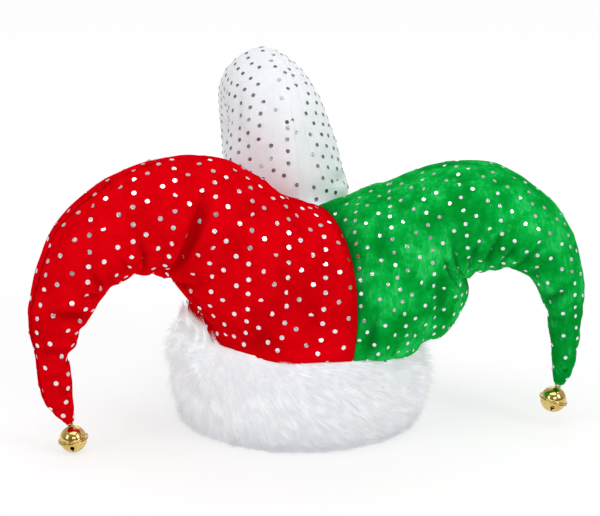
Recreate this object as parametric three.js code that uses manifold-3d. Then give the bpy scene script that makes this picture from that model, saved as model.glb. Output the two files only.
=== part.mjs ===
// A jester hat in plush: three stuffed horns, one red, one green and one white, sewn together over a hollow
// for the head, with a deep fur cuff below and a jingle bell on the tip of each horn.
// Millimetres, +Z up. The origin is the middle of the head opening, on the surface that the cuff stands on.
// The front is -Y. Azimuths are counted from +X towards +Y.
import * as THREE from "three";
import { mergeVertices } from "three/addons/utils/BufferGeometryUtils.js";
import Module from "manifold-3d";

const wasm = await Module();
wasm.setup();

// Driving sizes
const HEAD_RADIUS = 93; // the opening, for a head of about 58 cm round
const HOLLOW_DOME = 78; // how far the hollow rises above the cuff
const HOLLOW_MOUTH = 20; // how far the cut for it reaches below the cuff
const CUFF_HEIGHT = 84; // at the middle of its top, which leans
const CUFF_FOOT_WIDTH = 8; // the flat that it stands on
const CUFF_TOP_WIDTH = 13; // the flat that the crown is sewn to
const CUFF_SWELL = 15; // how far its round side stands out past the head opening
const LEAN = THREE.MathUtils.degToRad(5); // the cuff's top and the crown lean by this much
const LEAN_AZIMUTH = THREE.MathUtils.degToRad(342);
const CROWN_RADIUS = 104; // at the crown's lower edge
const CROWN_HEIGHT = 112; // from that edge to where the three colours meet
const CROWN_FULLNESS = 2.1; // 2 would be an ellipse, more is boxier
const CROWN_SLANT = 8; // how far its top is pulled aside, the way that it leans
const CROWN_BULGE = 6; // how far each horn's root stands out between its seams
const RED_REACH = 234; // how far the red horn's middle reaches out from the hat's axis
const RED_RISE = 198; // the height that its rows count from the floor
const RED_GIRTH = 64; // the half width that its rows' thickness and width count in
const GREEN_REACH = 238;
const GREEN_RISE = 189;
const GREEN_GIRTH = 61;
const WHITE_REACH = 196;
const WHITE_RISE = 284;
const WHITE_GIRTH = 60;
const ROOT_BLEND = 0.34; // where the root's fullest ring lies, on the way from the crown to the first section
const TIP_LENGTH = 0.8; // of the rounded tip, as a share of the last section's radius
const SEAM_PINCH = 0.12; // how far the two halves of a horn draw in towards their seams
const GAP = 0.3; // between neighbouring pieces
const FUR_PILE = 11; // how far the locks of fur stand out
const FUR_EDGE = 3; // from the cuff's top down to the first roots
const FUR_CLEARANCE = 0.8; // of the lowest tips, over the surface that the cuff stands on
const LOCK_LENGTH = 27;
const LOCK_UNEVEN = 0.16; // how much the locks differ
const LOCK_ROWS = 5;
const LOCKS_AROUND = 40;
const LOWEST_LOCK = 0.85; // the share of the lowest locks' length that hangs free
const CUFF_ROUND = { foot: 0.14, top: 0.86 }; // the stretch of a half round that the cuff's side follows
const COMB = { mean: 0.35, swing: 0.65, azimuth: THREE.MathUtils.degToRad(338) };
const BELL_RADIUS = 11.6;
const BELL_WALL = 0.9;
const BELL_RIM_REACH = 1.3; // the crimped rim, past the shell
const BELL_RIM_DEPTH = 1.1; // of each half's share of the rim
const BELL_SLOT_WIDTH = 1.6;
const BELL_HOLE_RADIUS = 1.9; // the round end of each slot
const BELL_HOLE_LATITUDE = THREE.MathUtils.degToRad(-24);
const PELLET_RADIUS = 2.8;
const PELLET_LATITUDE = THREE.MathUtils.degToRad(-55); // where it lies in the cup
const SHANK_SUNK = 0.7; // how far the loop's top is drawn into the cloth of the tip
const SHANK_RADIUS = 2.1; // the wire loop on top of a bell, to the wire's middle
const SHANK_WIRE = 0.65; // the wire's radius
const SHANK_RISE = 1.4; // the loop's middle above the bell's shell

// How finely the surfaces are faceted
const FACETS = { hornAround: 26, hornStep: 2, hollowAround: 30, bellAround: 14, bellUp: 4, wireRound: 5, wireAlong: 8 };

// A lock of fur from root to tip, and the notch between two locks: how far each ring has come down, as a share of the
// lock's length, and how far it stands out, as a share of the pile.
const LOCK_RINGS = [
  { fall: 0, stand: 0.15, notchFall: 0, notchStand: 0.05 },
  { fall: 0.5, stand: 0.85, notchFall: 0.45, notchStand: 0.45 },
  { fall: 1, stand: 1, notchFall: 0.62, notchStand: 0.3 },
];

// The three horns. Each is centred on its azimuth between two seams, and its tip swings round by turn degrees.
// A row of sections is a cut across the horn: its middle lies out from the hat's axis and up from the floor, and
// it is thick in the horn's own plane and wide across it, all as shares of the horn's reach, rise and girth.
// swing is the share of the turn reached there. A row of folds is a crease across the horn: at, a place along it in
// sections; round, its middle in degrees from the outer seam; spread, its half length in degrees; width and depth as
// shares of the girth. bellTurn and bellTilt are degrees about the bell's own axis and sideways, as seen from the front.
const HORNS = [
  {
    name: "red_horn",
    color: 0xc8000f,
    azimuth: 236,
    turn: -28,
    reach: RED_REACH,
    rise: RED_RISE,
    girth: RED_GIRTH,
    bellTurn: 12,
    bellTilt: -9,
    sections: [
      { out: 0.3, up: 0.8, thick: 1.02, wide: 1.04, swing: 0.35 },
      { out: 0.37, up: 0.915, thick: 0.94, wide: 0.94, swing: 0.62 },
      { out: 0.47, up: 0.98, thick: 0.88, wide: 0.88, swing: 0.82 },
      { out: 0.61, up: 0.99, thick: 0.78, wide: 0.78, swing: 0.93 },
      { out: 0.735, up: 0.96, thick: 0.69, wide: 0.7, swing: 0.97 },
      { out: 0.845, up: 0.88, thick: 0.6, wide: 0.62, swing: 1.0 },
      { out: 0.93, up: 0.76, thick: 0.48, wide: 0.52, swing: 1.0 },
      { out: 0.98, up: 0.61, thick: 0.4, wide: 0.42, swing: 1.0 },
      { out: 1.0, up: 0.49, thick: 0.29, wide: 0.33, swing: 1.0 },
      { out: 1.0, up: 0.38, thick: 0.24, wide: 0.26, swing: 1.0 },
      { out: 0.99, up: 0.27, thick: 0.2, wide: 0.2, swing: 1.0 },
      { out: 0.97, up: 0.196, thick: 0.14, wide: 0.14, swing: 1.0 },
      { out: 0.955, up: 0.153, thick: 0.085, wide: 0.09, swing: 1.0 },
    ],
    folds: [
      { at: 0.1, round: 232, spread: 45, width: 0.406, depth: 0.203 },
      { at: 2.4, round: 130, spread: 60, width: 0.141, depth: 0.109 },
      { at: 3.5, round: 205, spread: 50, width: 0.141, depth: 0.094 },
      { at: 4.4, round: 150, spread: 55, width: 0.125, depth: 0.094 },
      { at: 5.4, round: 185, spread: 50, width: 0.125, depth: 0.078 },
      { at: 6.5, round: 160, spread: 45, width: 0.125, depth: 0.062 },
      { at: 8.2, round: 190, spread: 50, width: 0.109, depth: 0.055 },
      { at: 9.4, round: 165, spread: 45, width: 0.094, depth: 0.047 },
    ],
  },
  {
    name: "green_horn",
    color: 0x008c22,
    azimuth: 356,
    turn: -6,
    reach: GREEN_REACH,
    rise: GREEN_RISE,
    girth: GREEN_GIRTH,
    bellTurn: -25,
    bellTilt: 17,
    sections: [
      { out: 0.395, up: 0.79, thick: 1.17, wide: 1.15, swing: 0.3 },
      { out: 0.475, up: 0.895, thick: 1.0, wide: 0.97, swing: 0.6 },
      { out: 0.57, up: 0.975, thick: 0.87, wide: 0.86, swing: 0.8 },
      { out: 0.7, up: 1.0, thick: 0.78, wide: 0.77, swing: 0.95 },
      { out: 0.815, up: 0.955, thick: 0.64, wide: 0.67, swing: 1.0 },
      { out: 0.905, up: 0.87, thick: 0.51, wide: 0.56, swing: 1.0 },
      { out: 0.966, up: 0.735, thick: 0.36, wide: 0.44, swing: 1.0 },
      { out: 0.992, up: 0.61, thick: 0.285, wide: 0.33, swing: 1.0 },
      { out: 1.0, up: 0.48, thick: 0.22, wide: 0.25, swing: 1.0 },
      { out: 1.0, up: 0.36, thick: 0.165, wide: 0.18, swing: 1.0 },
      { out: 0.995, up: 0.28, thick: 0.12, wide: 0.13, swing: 1.0 },
      { out: 0.988, up: 0.229, thick: 0.09, wide: 0.095, swing: 1.0 },
    ],
    folds: [
      { at: 2.6, round: 180, spread: 75, width: 0.131, depth: 0.131 },
      { at: 3.6, round: 200, spread: 60, width: 0.131, depth: 0.082 },
      { at: 4.5, round: 165, spread: 60, width: 0.131, depth: 0.082 },
      { at: 5.5, round: 195, spread: 50, width: 0.115, depth: 0.066 },
      { at: 6.6, round: 170, spread: 45, width: 0.115, depth: 0.049 },
      { at: 8.3, round: 185, spread: 45, width: 0.098, depth: 0.041 },
    ],
  },
  {
    name: "white_horn",
    color: 0xf2f4f8,
    azimuth: 116,
    turn: -9,
    reach: WHITE_REACH,
    rise: WHITE_RISE,
    girth: WHITE_GIRTH,
    bellTurn: 40,
    bellTilt: 0,
    sections: [
      { out: 0.39, up: 0.51, thick: 1.04, wide: 1.1, swing: 0.6 },
      { out: 0.335, up: 0.68, thick: 0.98, wide: 0.99, swing: 1.2 },
      { out: 0.33, up: 0.8, thick: 0.92, wide: 0.88, swing: 1.1 },
      { out: 0.365, up: 0.9, thick: 0.82, wide: 0.79, swing: 1.0 },
      { out: 0.445, up: 0.975, thick: 0.7, wide: 0.71, swing: 0.9 },
      { out: 0.56, up: 1.005, thick: 0.65, wide: 0.65, swing: 0.85 },
      { out: 0.69, up: 0.975, thick: 0.6, wide: 0.59, swing: 0.85 },
      { out: 0.8, up: 0.905, thick: 0.5, wide: 0.51, swing: 0.85 },
      { out: 0.89, up: 0.82, thick: 0.39, wide: 0.41, swing: 0.85 },
      { out: 0.955, up: 0.72, thick: 0.29, wide: 0.31, swing: 0.85 },
      { out: 0.99, up: 0.63, thick: 0.22, wide: 0.23, swing: 0.85 },
      { out: 1.0, up: 0.56, thick: 0.15, wide: 0.155, swing: 0.85 },
      { out: 1.0, up: 0.515, thick: 0.09, wide: 0.095, swing: 0.85 },
    ],
    folds: [
      { at: 2.6, round: 180, spread: 75, width: 0.15, depth: 0.1 },
      { at: 3.8, round: 195, spread: 60, width: 0.15, depth: 0.067 },
      { at: 5.6, round: 170, spread: 60, width: 0.133, depth: 0.05 },
      { at: 7.5, round: 190, spread: 50, width: 0.117, depth: 0.067 },
      { at: 9.3, round: 175, spread: 45, width: 0.1, depth: 0.05 },
    ],
  },
];

// What the hat's parts share

// The crown's own frame: its lower edge lies round its origin, and its top is pulled aside.
const leanAxis = new THREE.Vector3(-Math.sin(LEAN_AZIMUTH), Math.cos(LEAN_AZIMUTH), 0);
const crownTurn = new THREE.Matrix4().makeRotationAxis(leanAxis, LEAN);
const slantX = (CROWN_SLANT / CROWN_HEIGHT) * Math.cos(LEAN_AZIMUTH);
const slantY = (CROWN_SLANT / CROWN_HEIGHT) * Math.sin(LEAN_AZIMUTH);
const crownFrame = new THREE.Matrix4()
  .makeTranslation(0, 0, CUFF_HEIGHT + GAP)
  .multiply(crownTurn)
  .multiply(new THREE.Matrix4().makeShear(0, 0, 0, 0, slantX, slantY));
const crownUnframe = crownFrame.clone().invert();
const crownHeart = new THREE.Vector3(0, 0, CROWN_HEIGHT / 3).applyMatrix4(crownFrame);

function polar(radius, azimuth, height) {
  return new THREE.Vector3(radius * Math.cos(azimuth), radius * Math.sin(azimuth), height);
}

// A closed geometry as a solid that can be joined and cut.
function solidOf(geometry) {
  const bare = geometry.clone();
  bare.deleteAttribute("normal");
  bare.deleteAttribute("uv");
  const merged = mergeVertices(bare, 1e-3);
  const corners = merged.index.array;
  const kept = [];
  for (let i = 0; i < corners.length; i += 3) {
    const [a, b, c] = corners.slice(i, i + 3);
    if (a !== b && b !== c && c !== a) kept.push(a, b, c);
  }
  const vertProperties = new Float32Array(merged.attributes.position.array);
  return new wasm.Manifold(new wasm.Mesh({ numProp: 3, vertProperties, triVerts: new Uint32Array(kept) }));
}

function geometryOf(solid) {
  const mesh = solid.getMesh();
  const geometry = new THREE.BufferGeometry();
  geometry.setAttribute("position", new THREE.BufferAttribute(new Float32Array(mesh.vertProperties), 3));
  geometry.setIndex(new THREE.BufferAttribute(new Uint32Array(mesh.triVerts), 1));
  geometry.computeVertexNormals();
  return geometry;
}

// A skin through rings of equally many points, from the last ring back to the first.
function closedRings(rings) {
  const around = rings[0].length;
  const index = [];
  rings.forEach((_, k) => {
    for (let i = 0; i < around; i++) {
      const j = (i + 1) % around;
      const [low, high] = [k * around, ((k + 1) % rings.length) * around];
      index.push(low + i, high + i, high + j, low + i, high + j, low + j);
    }
  });
  return new THREE.BufferGeometry().setFromPoints(rings.flat()).setIndex(index);
}

// A skin through rings of equally many points, closed by a fan to one point at each end.
function loft(first, rings, last) {
  const around = rings[0].length;
  const points = [first, ...rings.flat(), last];
  const end = points.length - 1;
  const index = [];
  for (let i = 0; i < around; i++) {
    const j = (i + 1) % around;
    index.push(0, 1 + i, 1 + j);
    index.push(end, end - around + j, end - around + i);
    for (let k = 0; k < rings.length - 1; k++) {
      const [a, b] = [1 + k * around + i, 1 + k * around + j];
      index.push(a, b + around, b, a, a + around, b + around);
    }
  }
  return new THREE.BufferGeometry().setFromPoints(points).setIndex(index);
}

// Horns

const SEAM_HALF_ANGLE = Math.PI / 3; // three horns share the round of the crown
const SEAM_SHARE = 0.64; // of a root ring's half that runs down the seam, the rest being the lower edge

// The ring where a horn leaves the crown: down one seam from the top, along the lower edge and up the other seam.
function rootPoint(horn, turnShare) {
  const half = Math.min(turnShare, 1 - turnShare) * 2;
  const side = turnShare <= 0.5 ? 1 : -1;
  const azimuth = THREE.MathUtils.degToRad(horn.azimuth);
  if (half < SEAM_SHARE) {
    const slope = (half / SEAM_SHARE) * (Math.PI / 2);
    const at = azimuth + side * SEAM_HALF_ANGLE;
    const full = (x) => Math.max(x, 0) ** (2 / CROWN_FULLNESS);
    const point = polar(CROWN_RADIUS * full(Math.sin(slope)), at, CROWN_HEIGHT * full(Math.cos(slope)));
    return point.applyMatrix4(crownFrame);
  }
  const at = azimuth + (side * SEAM_HALF_ANGLE * (1 - half)) / (1 - SEAM_SHARE);
  return polar(CROWN_RADIUS, at, 0).applyMatrix4(crownFrame);
}

function spineOf(horn) {
  return horn.sections.map((s) => {
    const azimuth = THREE.MathUtils.degToRad(horn.azimuth + horn.turn * s.swing);
    return { azimuth, middle: polar(s.out * horn.reach, azimuth, s.up * horn.rise) };
  });
}

// The rounded tip, a little past the last section.
function tipOf(horn) {
  const spine = spineOf(horn);
  const [before, last] = spine.slice(-2).map((s) => s.middle);
  const along = last.clone().sub(before).normalize();
  const reach = horn.sections.at(-1).thick * horn.girth * TIP_LENGTH;
  return last.clone().addScaledVector(along, reach);
}

// One ring of the skin for each row of the table. A turn of 0 is the outer seam.
function sectionRings(horn, around) {
  const spine = spineOf(horn);
  return horn.sections.map((section, k) => {
    const before = k === 0 ? crownHeart : spine[k - 1].middle;
    const after = spine[Math.min(k + 1, spine.length - 1)].middle;
    const along = after.clone().sub(before).normalize();
    const { azimuth, middle } = spine[k];
    const across = new THREE.Vector3(-Math.sin(azimuth), Math.cos(azimuth), 0);
    const outer = along.clone().cross(across).normalize();
    return Array.from({ length: around }, (_, i) => {
      const turn = (i / around) * 2 * Math.PI;
      const sideways = Math.sign(Math.sin(turn)) * Math.abs(Math.sin(turn)) ** (1 + SEAM_PINCH);
      return middle
        .clone()
        .addScaledVector(outer, Math.cos(turn) * section.thick * horn.girth)
        .addScaledVector(across, sideways * section.wide * horn.girth);
    });
  });
}

// Between the root ring and the first section the skin stands out like a pillow.
function bulgeRing(root, first) {
  return root.map((point, i) => {
    const half = (Math.min(i, root.length - i) / root.length) * 2;
    const out = point.clone().sub(crownHeart).normalize();
    return point
      .clone()
      .lerp(first[i], ROOT_BLEND)
      .addScaledVector(out, CROWN_BULGE * Math.sin(Math.PI * half));
  });
}

// The creases draw the skin in towards the horn's middle.
function foldDepth(horn, place, turn, ringGap) {
  return horn.folds.reduce((depth, fold) => {
    const along = ((place - fold.at) * ringGap) / (fold.width * horn.girth);
    const round = (turn - fold.round) / fold.spread;
    return depth + fold.depth * horn.girth * Math.exp(-along * along) * Math.exp(-round * round);
  }, 0);
}

// Where a horn leans on its neighbour the seam holds it back.
function withinSeams(horn, point) {
  const local = point.clone().applyMatrix4(crownUnframe);
  for (const side of [-1, 1]) {
    const at = THREE.MathUtils.degToRad(horn.azimuth) + side * (SEAM_HALF_ANGLE + Math.PI / 2);
    const past = local.dot(polar(1, at, 0));
    if (past > 0) local.addScaledVector(polar(1, at, 0), -past);
  }
  return local.applyMatrix4(crownFrame);
}

// The skin runs through the rings on smooth rails, and the hat's middle closes it below.
function hornSkin(horn) {
  const around = FACETS.hornAround;
  const sections = sectionRings(horn, around);
  const root = Array.from({ length: around }, (_, i) => rootPoint(horn, i / around));
  const rings = [root, bulgeRing(root, sections[0]), ...sections];
  const rails = root.map((_, i) => new THREE.CatmullRomCurve3(rings.map((ring) => ring[i]), false, "centripetal"));
  const steps = (rings.length - 1) * FACETS.hornStep;
  const skin = Array.from({ length: steps + 1 }, (_, k) => rails.map((rail) => rail.getPoint(k / steps)));
  const middles = skin.map((ring) => ring.reduce((sum, p) => sum.add(p), new THREE.Vector3()).divideScalar(around));
  const folded = skin.map((ring, k) => {
    const place = k / FACETS.hornStep - 1;
    const ringGap = middles[Math.max(k, 1)].distanceTo(middles[Math.max(k, 1) - 1]) * FACETS.hornStep;
    return ring.map((point, i) => {
      const inward = middles[k].clone().sub(point).normalize();
      const depth = k === 0 ? 0 : foldDepth(horn, place, (i / around) * 360, ringGap);
      return point.clone().addScaledVector(inward, depth);
    });
  });
  const middle = new THREE.Vector3().applyMatrix4(crownFrame);
  const closed = loft(middle, folded.map((ring) => ring.map((p) => withinSeams(horn, p))), tipOf(horn));
  const aside = polar(GAP / 2 / Math.sin(SEAM_HALF_ANGLE), THREE.MathUtils.degToRad(horn.azimuth), 0);
  return solidOf(closed.translate(...aside.applyMatrix4(crownTurn)));
}

// The head's room, open below, round to the crown's lower edge and domed above it.
function headHollow() {
  const profile = [new THREE.Vector2(0, -HOLLOW_MOUTH), new THREE.Vector2(HEAD_RADIUS, -HOLLOW_MOUTH)];
  const steps = 8;
  for (let k = 0; k <= steps; k++) {
    const slope = (k / steps) * (Math.PI / 2);
    profile.push(new THREE.Vector2(HEAD_RADIUS * Math.cos(slope), HOLLOW_DOME * Math.sin(slope)));
  }
  const lathe = new THREE.LatheGeometry(profile, FACETS.hollowAround).rotateX(Math.PI / 2);
  return solidOf(lathe.applyMatrix4(crownFrame));
}

// Bells. Each is built upright at its own origin, the middle of the shell.

// A quarter round from the rim to the pole.
function quarterRound(radius) {
  return Array.from({ length: FACETS.bellUp + 1 }, (_, k) => {
    const latitude = ((k / FACETS.bellUp) * Math.PI) / 2;
    return new THREE.Vector2(k === FACETS.bellUp ? 0 : radius * Math.cos(latitude), radius * Math.sin(latitude));
  });
}

// One half of the shell, up for the cap or down for the cup, with its share of the crimped rim.
function bellHalf(up) {
  const outer = quarterRound(BELL_RADIUS);
  const inner = quarterRound(BELL_RADIUS - BELL_WALL).reverse();
  const lift = GAP / 2;
  const rim = [
    new THREE.Vector2(BELL_RADIUS - BELL_WALL, lift),
    new THREE.Vector2(BELL_RADIUS + BELL_RIM_REACH, lift),
    new THREE.Vector2(BELL_RADIUS + BELL_RIM_REACH, lift + BELL_RIM_DEPTH * 0.5),
    new THREE.Vector2(BELL_RADIUS + BELL_RIM_REACH * 0.6, lift + BELL_RIM_DEPTH),
  ];
  const rise = (p) => p.y > lift + BELL_RIM_DEPTH;
  const profile = [...rim, ...outer.filter(rise), ...inner.filter(rise)];
  const lathe = new THREE.LatheGeometry([...profile, profile[0].clone()], FACETS.bellAround).rotateX(Math.PI / 2);
  if (!up) lathe.rotateX(Math.PI);
  return solidOf(lathe);
}

function shankLoop(wire) {
  const loop = new THREE.TorusGeometry(SHANK_RADIUS, wire, FACETS.wireRound, FACETS.wireAlong).rotateX(Math.PI / 2);
  return solidOf(loop.translate(0, 0, BELL_RADIUS + SHANK_RISE));
}

function bellCap() {
  return bellHalf(true).add(shankLoop(SHANK_WIRE));
}

// Two crossing slots in the cup, each ending in a round hole.
function bellCup() {
  const bottom = -BELL_RADIUS * 2;
  const top = BELL_RADIUS * Math.sin(BELL_HOLE_LATITUDE);
  let cup = bellHalf(false);
  for (const turn of [0, Math.PI / 2]) {
    const slot = new THREE.BoxGeometry(BELL_RADIUS * 3, BELL_SLOT_WIDTH, top - bottom);
    slot.translate(0, 0, (top + bottom) / 2).rotateZ(turn);
    const holes = new THREE.CylinderGeometry(BELL_HOLE_RADIUS, BELL_HOLE_RADIUS, BELL_RADIUS * 3, 10);
    holes.rotateZ(Math.PI / 2).translate(0, 0, top).rotateZ(turn);
    cup = cup.subtract(solidOf(holes));
    cup = cup.subtract(solidOf(slot));
  }
  return cup;
}

const pelletSeat = BELL_RADIUS - BELL_WALL - GAP - PELLET_RADIUS;

// The slots cross at the bottom, so the pellet lies between two of them.
function bellPellet() {
  const out = pelletSeat * Math.cos(PELLET_LATITUDE);
  const place = polar(out, Math.PI / 4, pelletSeat * Math.sin(PELLET_LATITUDE));
  return solidOf(new THREE.IcosahedronGeometry(PELLET_RADIUS, 1).translate(...place));
}

// A bell hangs from its horn's tip, with the top of its loop sewn into the cloth.
function bellFrame(horn) {
  const drop = BELL_RADIUS + SHANK_RISE + SHANK_RADIUS - SHANK_SUNK;
  return new THREE.Matrix4()
    .makeTranslation(...tipOf(horn))
    .multiply(new THREE.Matrix4().makeRotationY(THREE.MathUtils.degToRad(horn.bellTilt)))
    .multiply(new THREE.Matrix4().makeTranslation(0, 0, -drop))
    .multiply(new THREE.Matrix4().makeRotationZ(THREE.MathUtils.degToRad(horn.bellTurn)));
}

// Cuff

// How far the skin that the fur grows from stands out past the head opening, at a share of the cuff's height.
function cuffSkin(share) {
  const round = Math.sin(Math.PI * THREE.MathUtils.lerp(CUFF_ROUND.foot, CUFF_ROUND.top, share));
  return HEAD_RADIUS + CUFF_FOOT_WIDTH + (CUFF_SWELL - CUFF_FOOT_WIDTH) * round;
}

// The top leans with the crown and the foot stays flat.
function cuffPoint(radius, azimuth, share) {
  const drop = Math.tan(LEAN) * radius * Math.cos(azimuth - LEAN_AZIMUTH);
  return polar(radius, azimuth, share * (CUFF_HEIGHT - drop));
}

// How far the fur is combed sideways on its way down: to the right in front, and the other way past the parting.
function combOf(azimuth) {
  return COMB.mean + COMB.swing * Math.cos(azimuth - COMB.azimuth);
}

// Each lock is a little longer or shorter than the next, in no plain order.
function unevenness(column, row) {
  return 1 + LOCK_UNEVEN * Math.sin(2.3 * column + 4.1 * row);
}

// A row of locks is a few rings: the roots, the backs, and the tips with the notches between them. A tip hangs
// over the roots of the row below, whose locks stand half a lock further round.
function furRings(row) {
  const columns = LOCKS_AROUND * 2;
  const lowest = (LOCK_LENGTH * LOWEST_LOCK + FUR_CLEARANCE) / CUFF_HEIGHT;
  const rootShare = THREE.MathUtils.lerp(1 - FUR_EDGE / CUFF_HEIGHT, lowest, row / (LOCK_ROWS - 1));
  return LOCK_RINGS.map((ring) =>
    Array.from({ length: columns }, (_, k) => {
      const azimuth = (k / columns) * 2 * Math.PI;
      const [fall, stand] = (k + row) % 2 ? [ring.notchFall, ring.notchStand] : [ring.fall, ring.stand];
      const vary = unevenness(k, row);
      const share = Math.max(rootShare - (fall * vary * LOCK_LENGTH) / CUFF_HEIGHT, FUR_CLEARANCE / CUFF_HEIGHT);
      const side = (combOf(azimuth) * fall * vary * LOCK_LENGTH) / HEAD_RADIUS;
      return cuffPoint(cuffSkin(share) + stand * vary * FUR_PILE, azimuth + side, share);
    }),
  );
}

function furCuff() {
  const columns = LOCKS_AROUND * 2;
  const plain = (radius, share) =>
    Array.from({ length: columns }, (_, k) => cuffPoint(radius, (k / columns) * 2 * Math.PI, share));
  const rings = [plain(HEAD_RADIUS, 0), plain(HEAD_RADIUS, 1), plain(HEAD_RADIUS + CUFF_TOP_WIDTH, 1)];
  for (let row = 0; row < LOCK_ROWS; row++) rings.push(...furRings(row));
  rings.push(plain(HEAD_RADIUS + CUFF_FOOT_WIDTH, 0));
  return solidOf(closedRings(rings));
}

// The assembly

const hat = new THREE.Group();

function addPiece(name, solid, color, roughness, metalness, frame) {
  const mesh = new THREE.Mesh(geometryOf(solid), new THREE.MeshStandardMaterial({ color, roughness, metalness }));
  mesh.name = name;
  if (frame) mesh.applyMatrix4(frame);
  hat.add(mesh);
}

function moved(solid, frame) {
  return solid.transform(frame.toArray());
}

const FUR_COLOR = 0xf4f5f8;
const BRASS_COLOR = 0xd8a83c;
const STEEL_COLOR = 0x8a8d92;

const hollow = headHollow();
for (const horn of HORNS) {
  const frame = bellFrame(horn);
  const loopRoom = moved(shankLoop(SHANK_WIRE + GAP), frame);
  addPiece(horn.name, hornSkin(horn).subtract(hollow).subtract(loopRoom), horn.color, 0.85, 0);
  const bell = horn.name.replace("horn", "bell");
  addPiece(bell + "_cap", bellCap(), BRASS_COLOR, 0.2, 1, frame);
  addPiece(bell + "_cup", bellCup(), BRASS_COLOR, 0.25, 1, frame);
  addPiece(bell + "_pellet", bellPellet(), STEEL_COLOR, 0.35, 1, frame);
}
addPiece("fur_cuff", furCuff(), FUR_COLOR, 0.95, 0);

export default hat;
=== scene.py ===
# A jester hat in plush, standing on its fur cuff: three stuffed horns in red, green and white velvet with
# small silver foil dots, a deep cuff of white fur, and a brass jingle bell on the tip of each horn.
# Metres, +Z up, the front is -Y. Azimuths are counted from +X towards +Y.
import math

import bmesh
import bpy
import numpy as np
from mathutils import Matrix, Vector, noise


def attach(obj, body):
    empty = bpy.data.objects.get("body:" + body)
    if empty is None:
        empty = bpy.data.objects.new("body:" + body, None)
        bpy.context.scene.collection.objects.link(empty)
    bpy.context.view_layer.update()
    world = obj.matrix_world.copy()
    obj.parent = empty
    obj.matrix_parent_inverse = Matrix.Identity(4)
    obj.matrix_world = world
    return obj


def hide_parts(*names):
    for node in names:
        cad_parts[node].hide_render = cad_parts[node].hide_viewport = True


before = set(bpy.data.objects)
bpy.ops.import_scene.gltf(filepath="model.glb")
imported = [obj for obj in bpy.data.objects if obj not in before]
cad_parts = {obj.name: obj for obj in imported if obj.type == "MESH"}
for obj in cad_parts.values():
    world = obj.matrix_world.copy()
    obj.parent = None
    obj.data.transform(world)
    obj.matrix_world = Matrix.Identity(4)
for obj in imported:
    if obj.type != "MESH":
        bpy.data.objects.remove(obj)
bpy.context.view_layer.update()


# The view: a camera a little above the hat, 1.3 m away, as the photograph was taken.
CAMERA_DISTANCE = 1.3
CAMERA_RISE = math.radians(13)
AIM_HEIGHT = 0.17
FOCAL_PIXELS = 1444.4
PHOTO_WIDTH = 600
PHOTO_HEIGHT = 516
AIM_ROW = 231.24
SENSOR = 36.0

camera_data = bpy.data.cameras.new("photo_camera")
camera_data.sensor_width = SENSOR
camera_data.lens = FOCAL_PIXELS / PHOTO_WIDTH * SENSOR
camera_data.shift_y = (AIM_ROW - PHOTO_HEIGHT / 2) / PHOTO_WIDTH
camera_data.clip_end = 60
camera = bpy.data.objects.new("photo_camera", camera_data)
camera.location = (
    0,
    -CAMERA_DISTANCE * math.cos(CAMERA_RISE),
    AIM_HEIGHT + CAMERA_DISTANCE * math.sin(CAMERA_RISE),
)
camera.rotation_euler = (math.pi / 2 - CAMERA_RISE, 0, 0)
bpy.context.scene.collection.objects.link(camera)
bpy.context.scene.camera = camera
bpy.context.scene.view_settings.view_transform = "Standard"


# The studio: a wide white floor, which its own faint glow turns almost to paper white, with big soft lamps
# over and beside the hat. The floor glows less near the hat: a painted shadow of the hat round its foot.
# The room is dimmer behind the camera, so that foil and brass mirror something dark.
class Value:
    """A shader value or colour that a finish is written with, in plain sums."""

    def __init__(self, finish, socket):
        self.finish = finish
        self.socket = socket

    def _sum(self, operation, *terms):
        made = self.finish.node("ShaderNodeMath", {"operation": operation}, dict(enumerate(terms)))
        return self.finish.out(made, 0)

    def __add__(self, other):
        return self._sum("ADD", self, other)

    __radd__ = __add__

    def __mul__(self, other):
        return self._sum("MULTIPLY", self, other)

    __rmul__ = __mul__

    def __rsub__(self, other):
        return self._sum("SUBTRACT", other, self)

    def wave(self):
        return self._sum("SINE", self)


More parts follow.
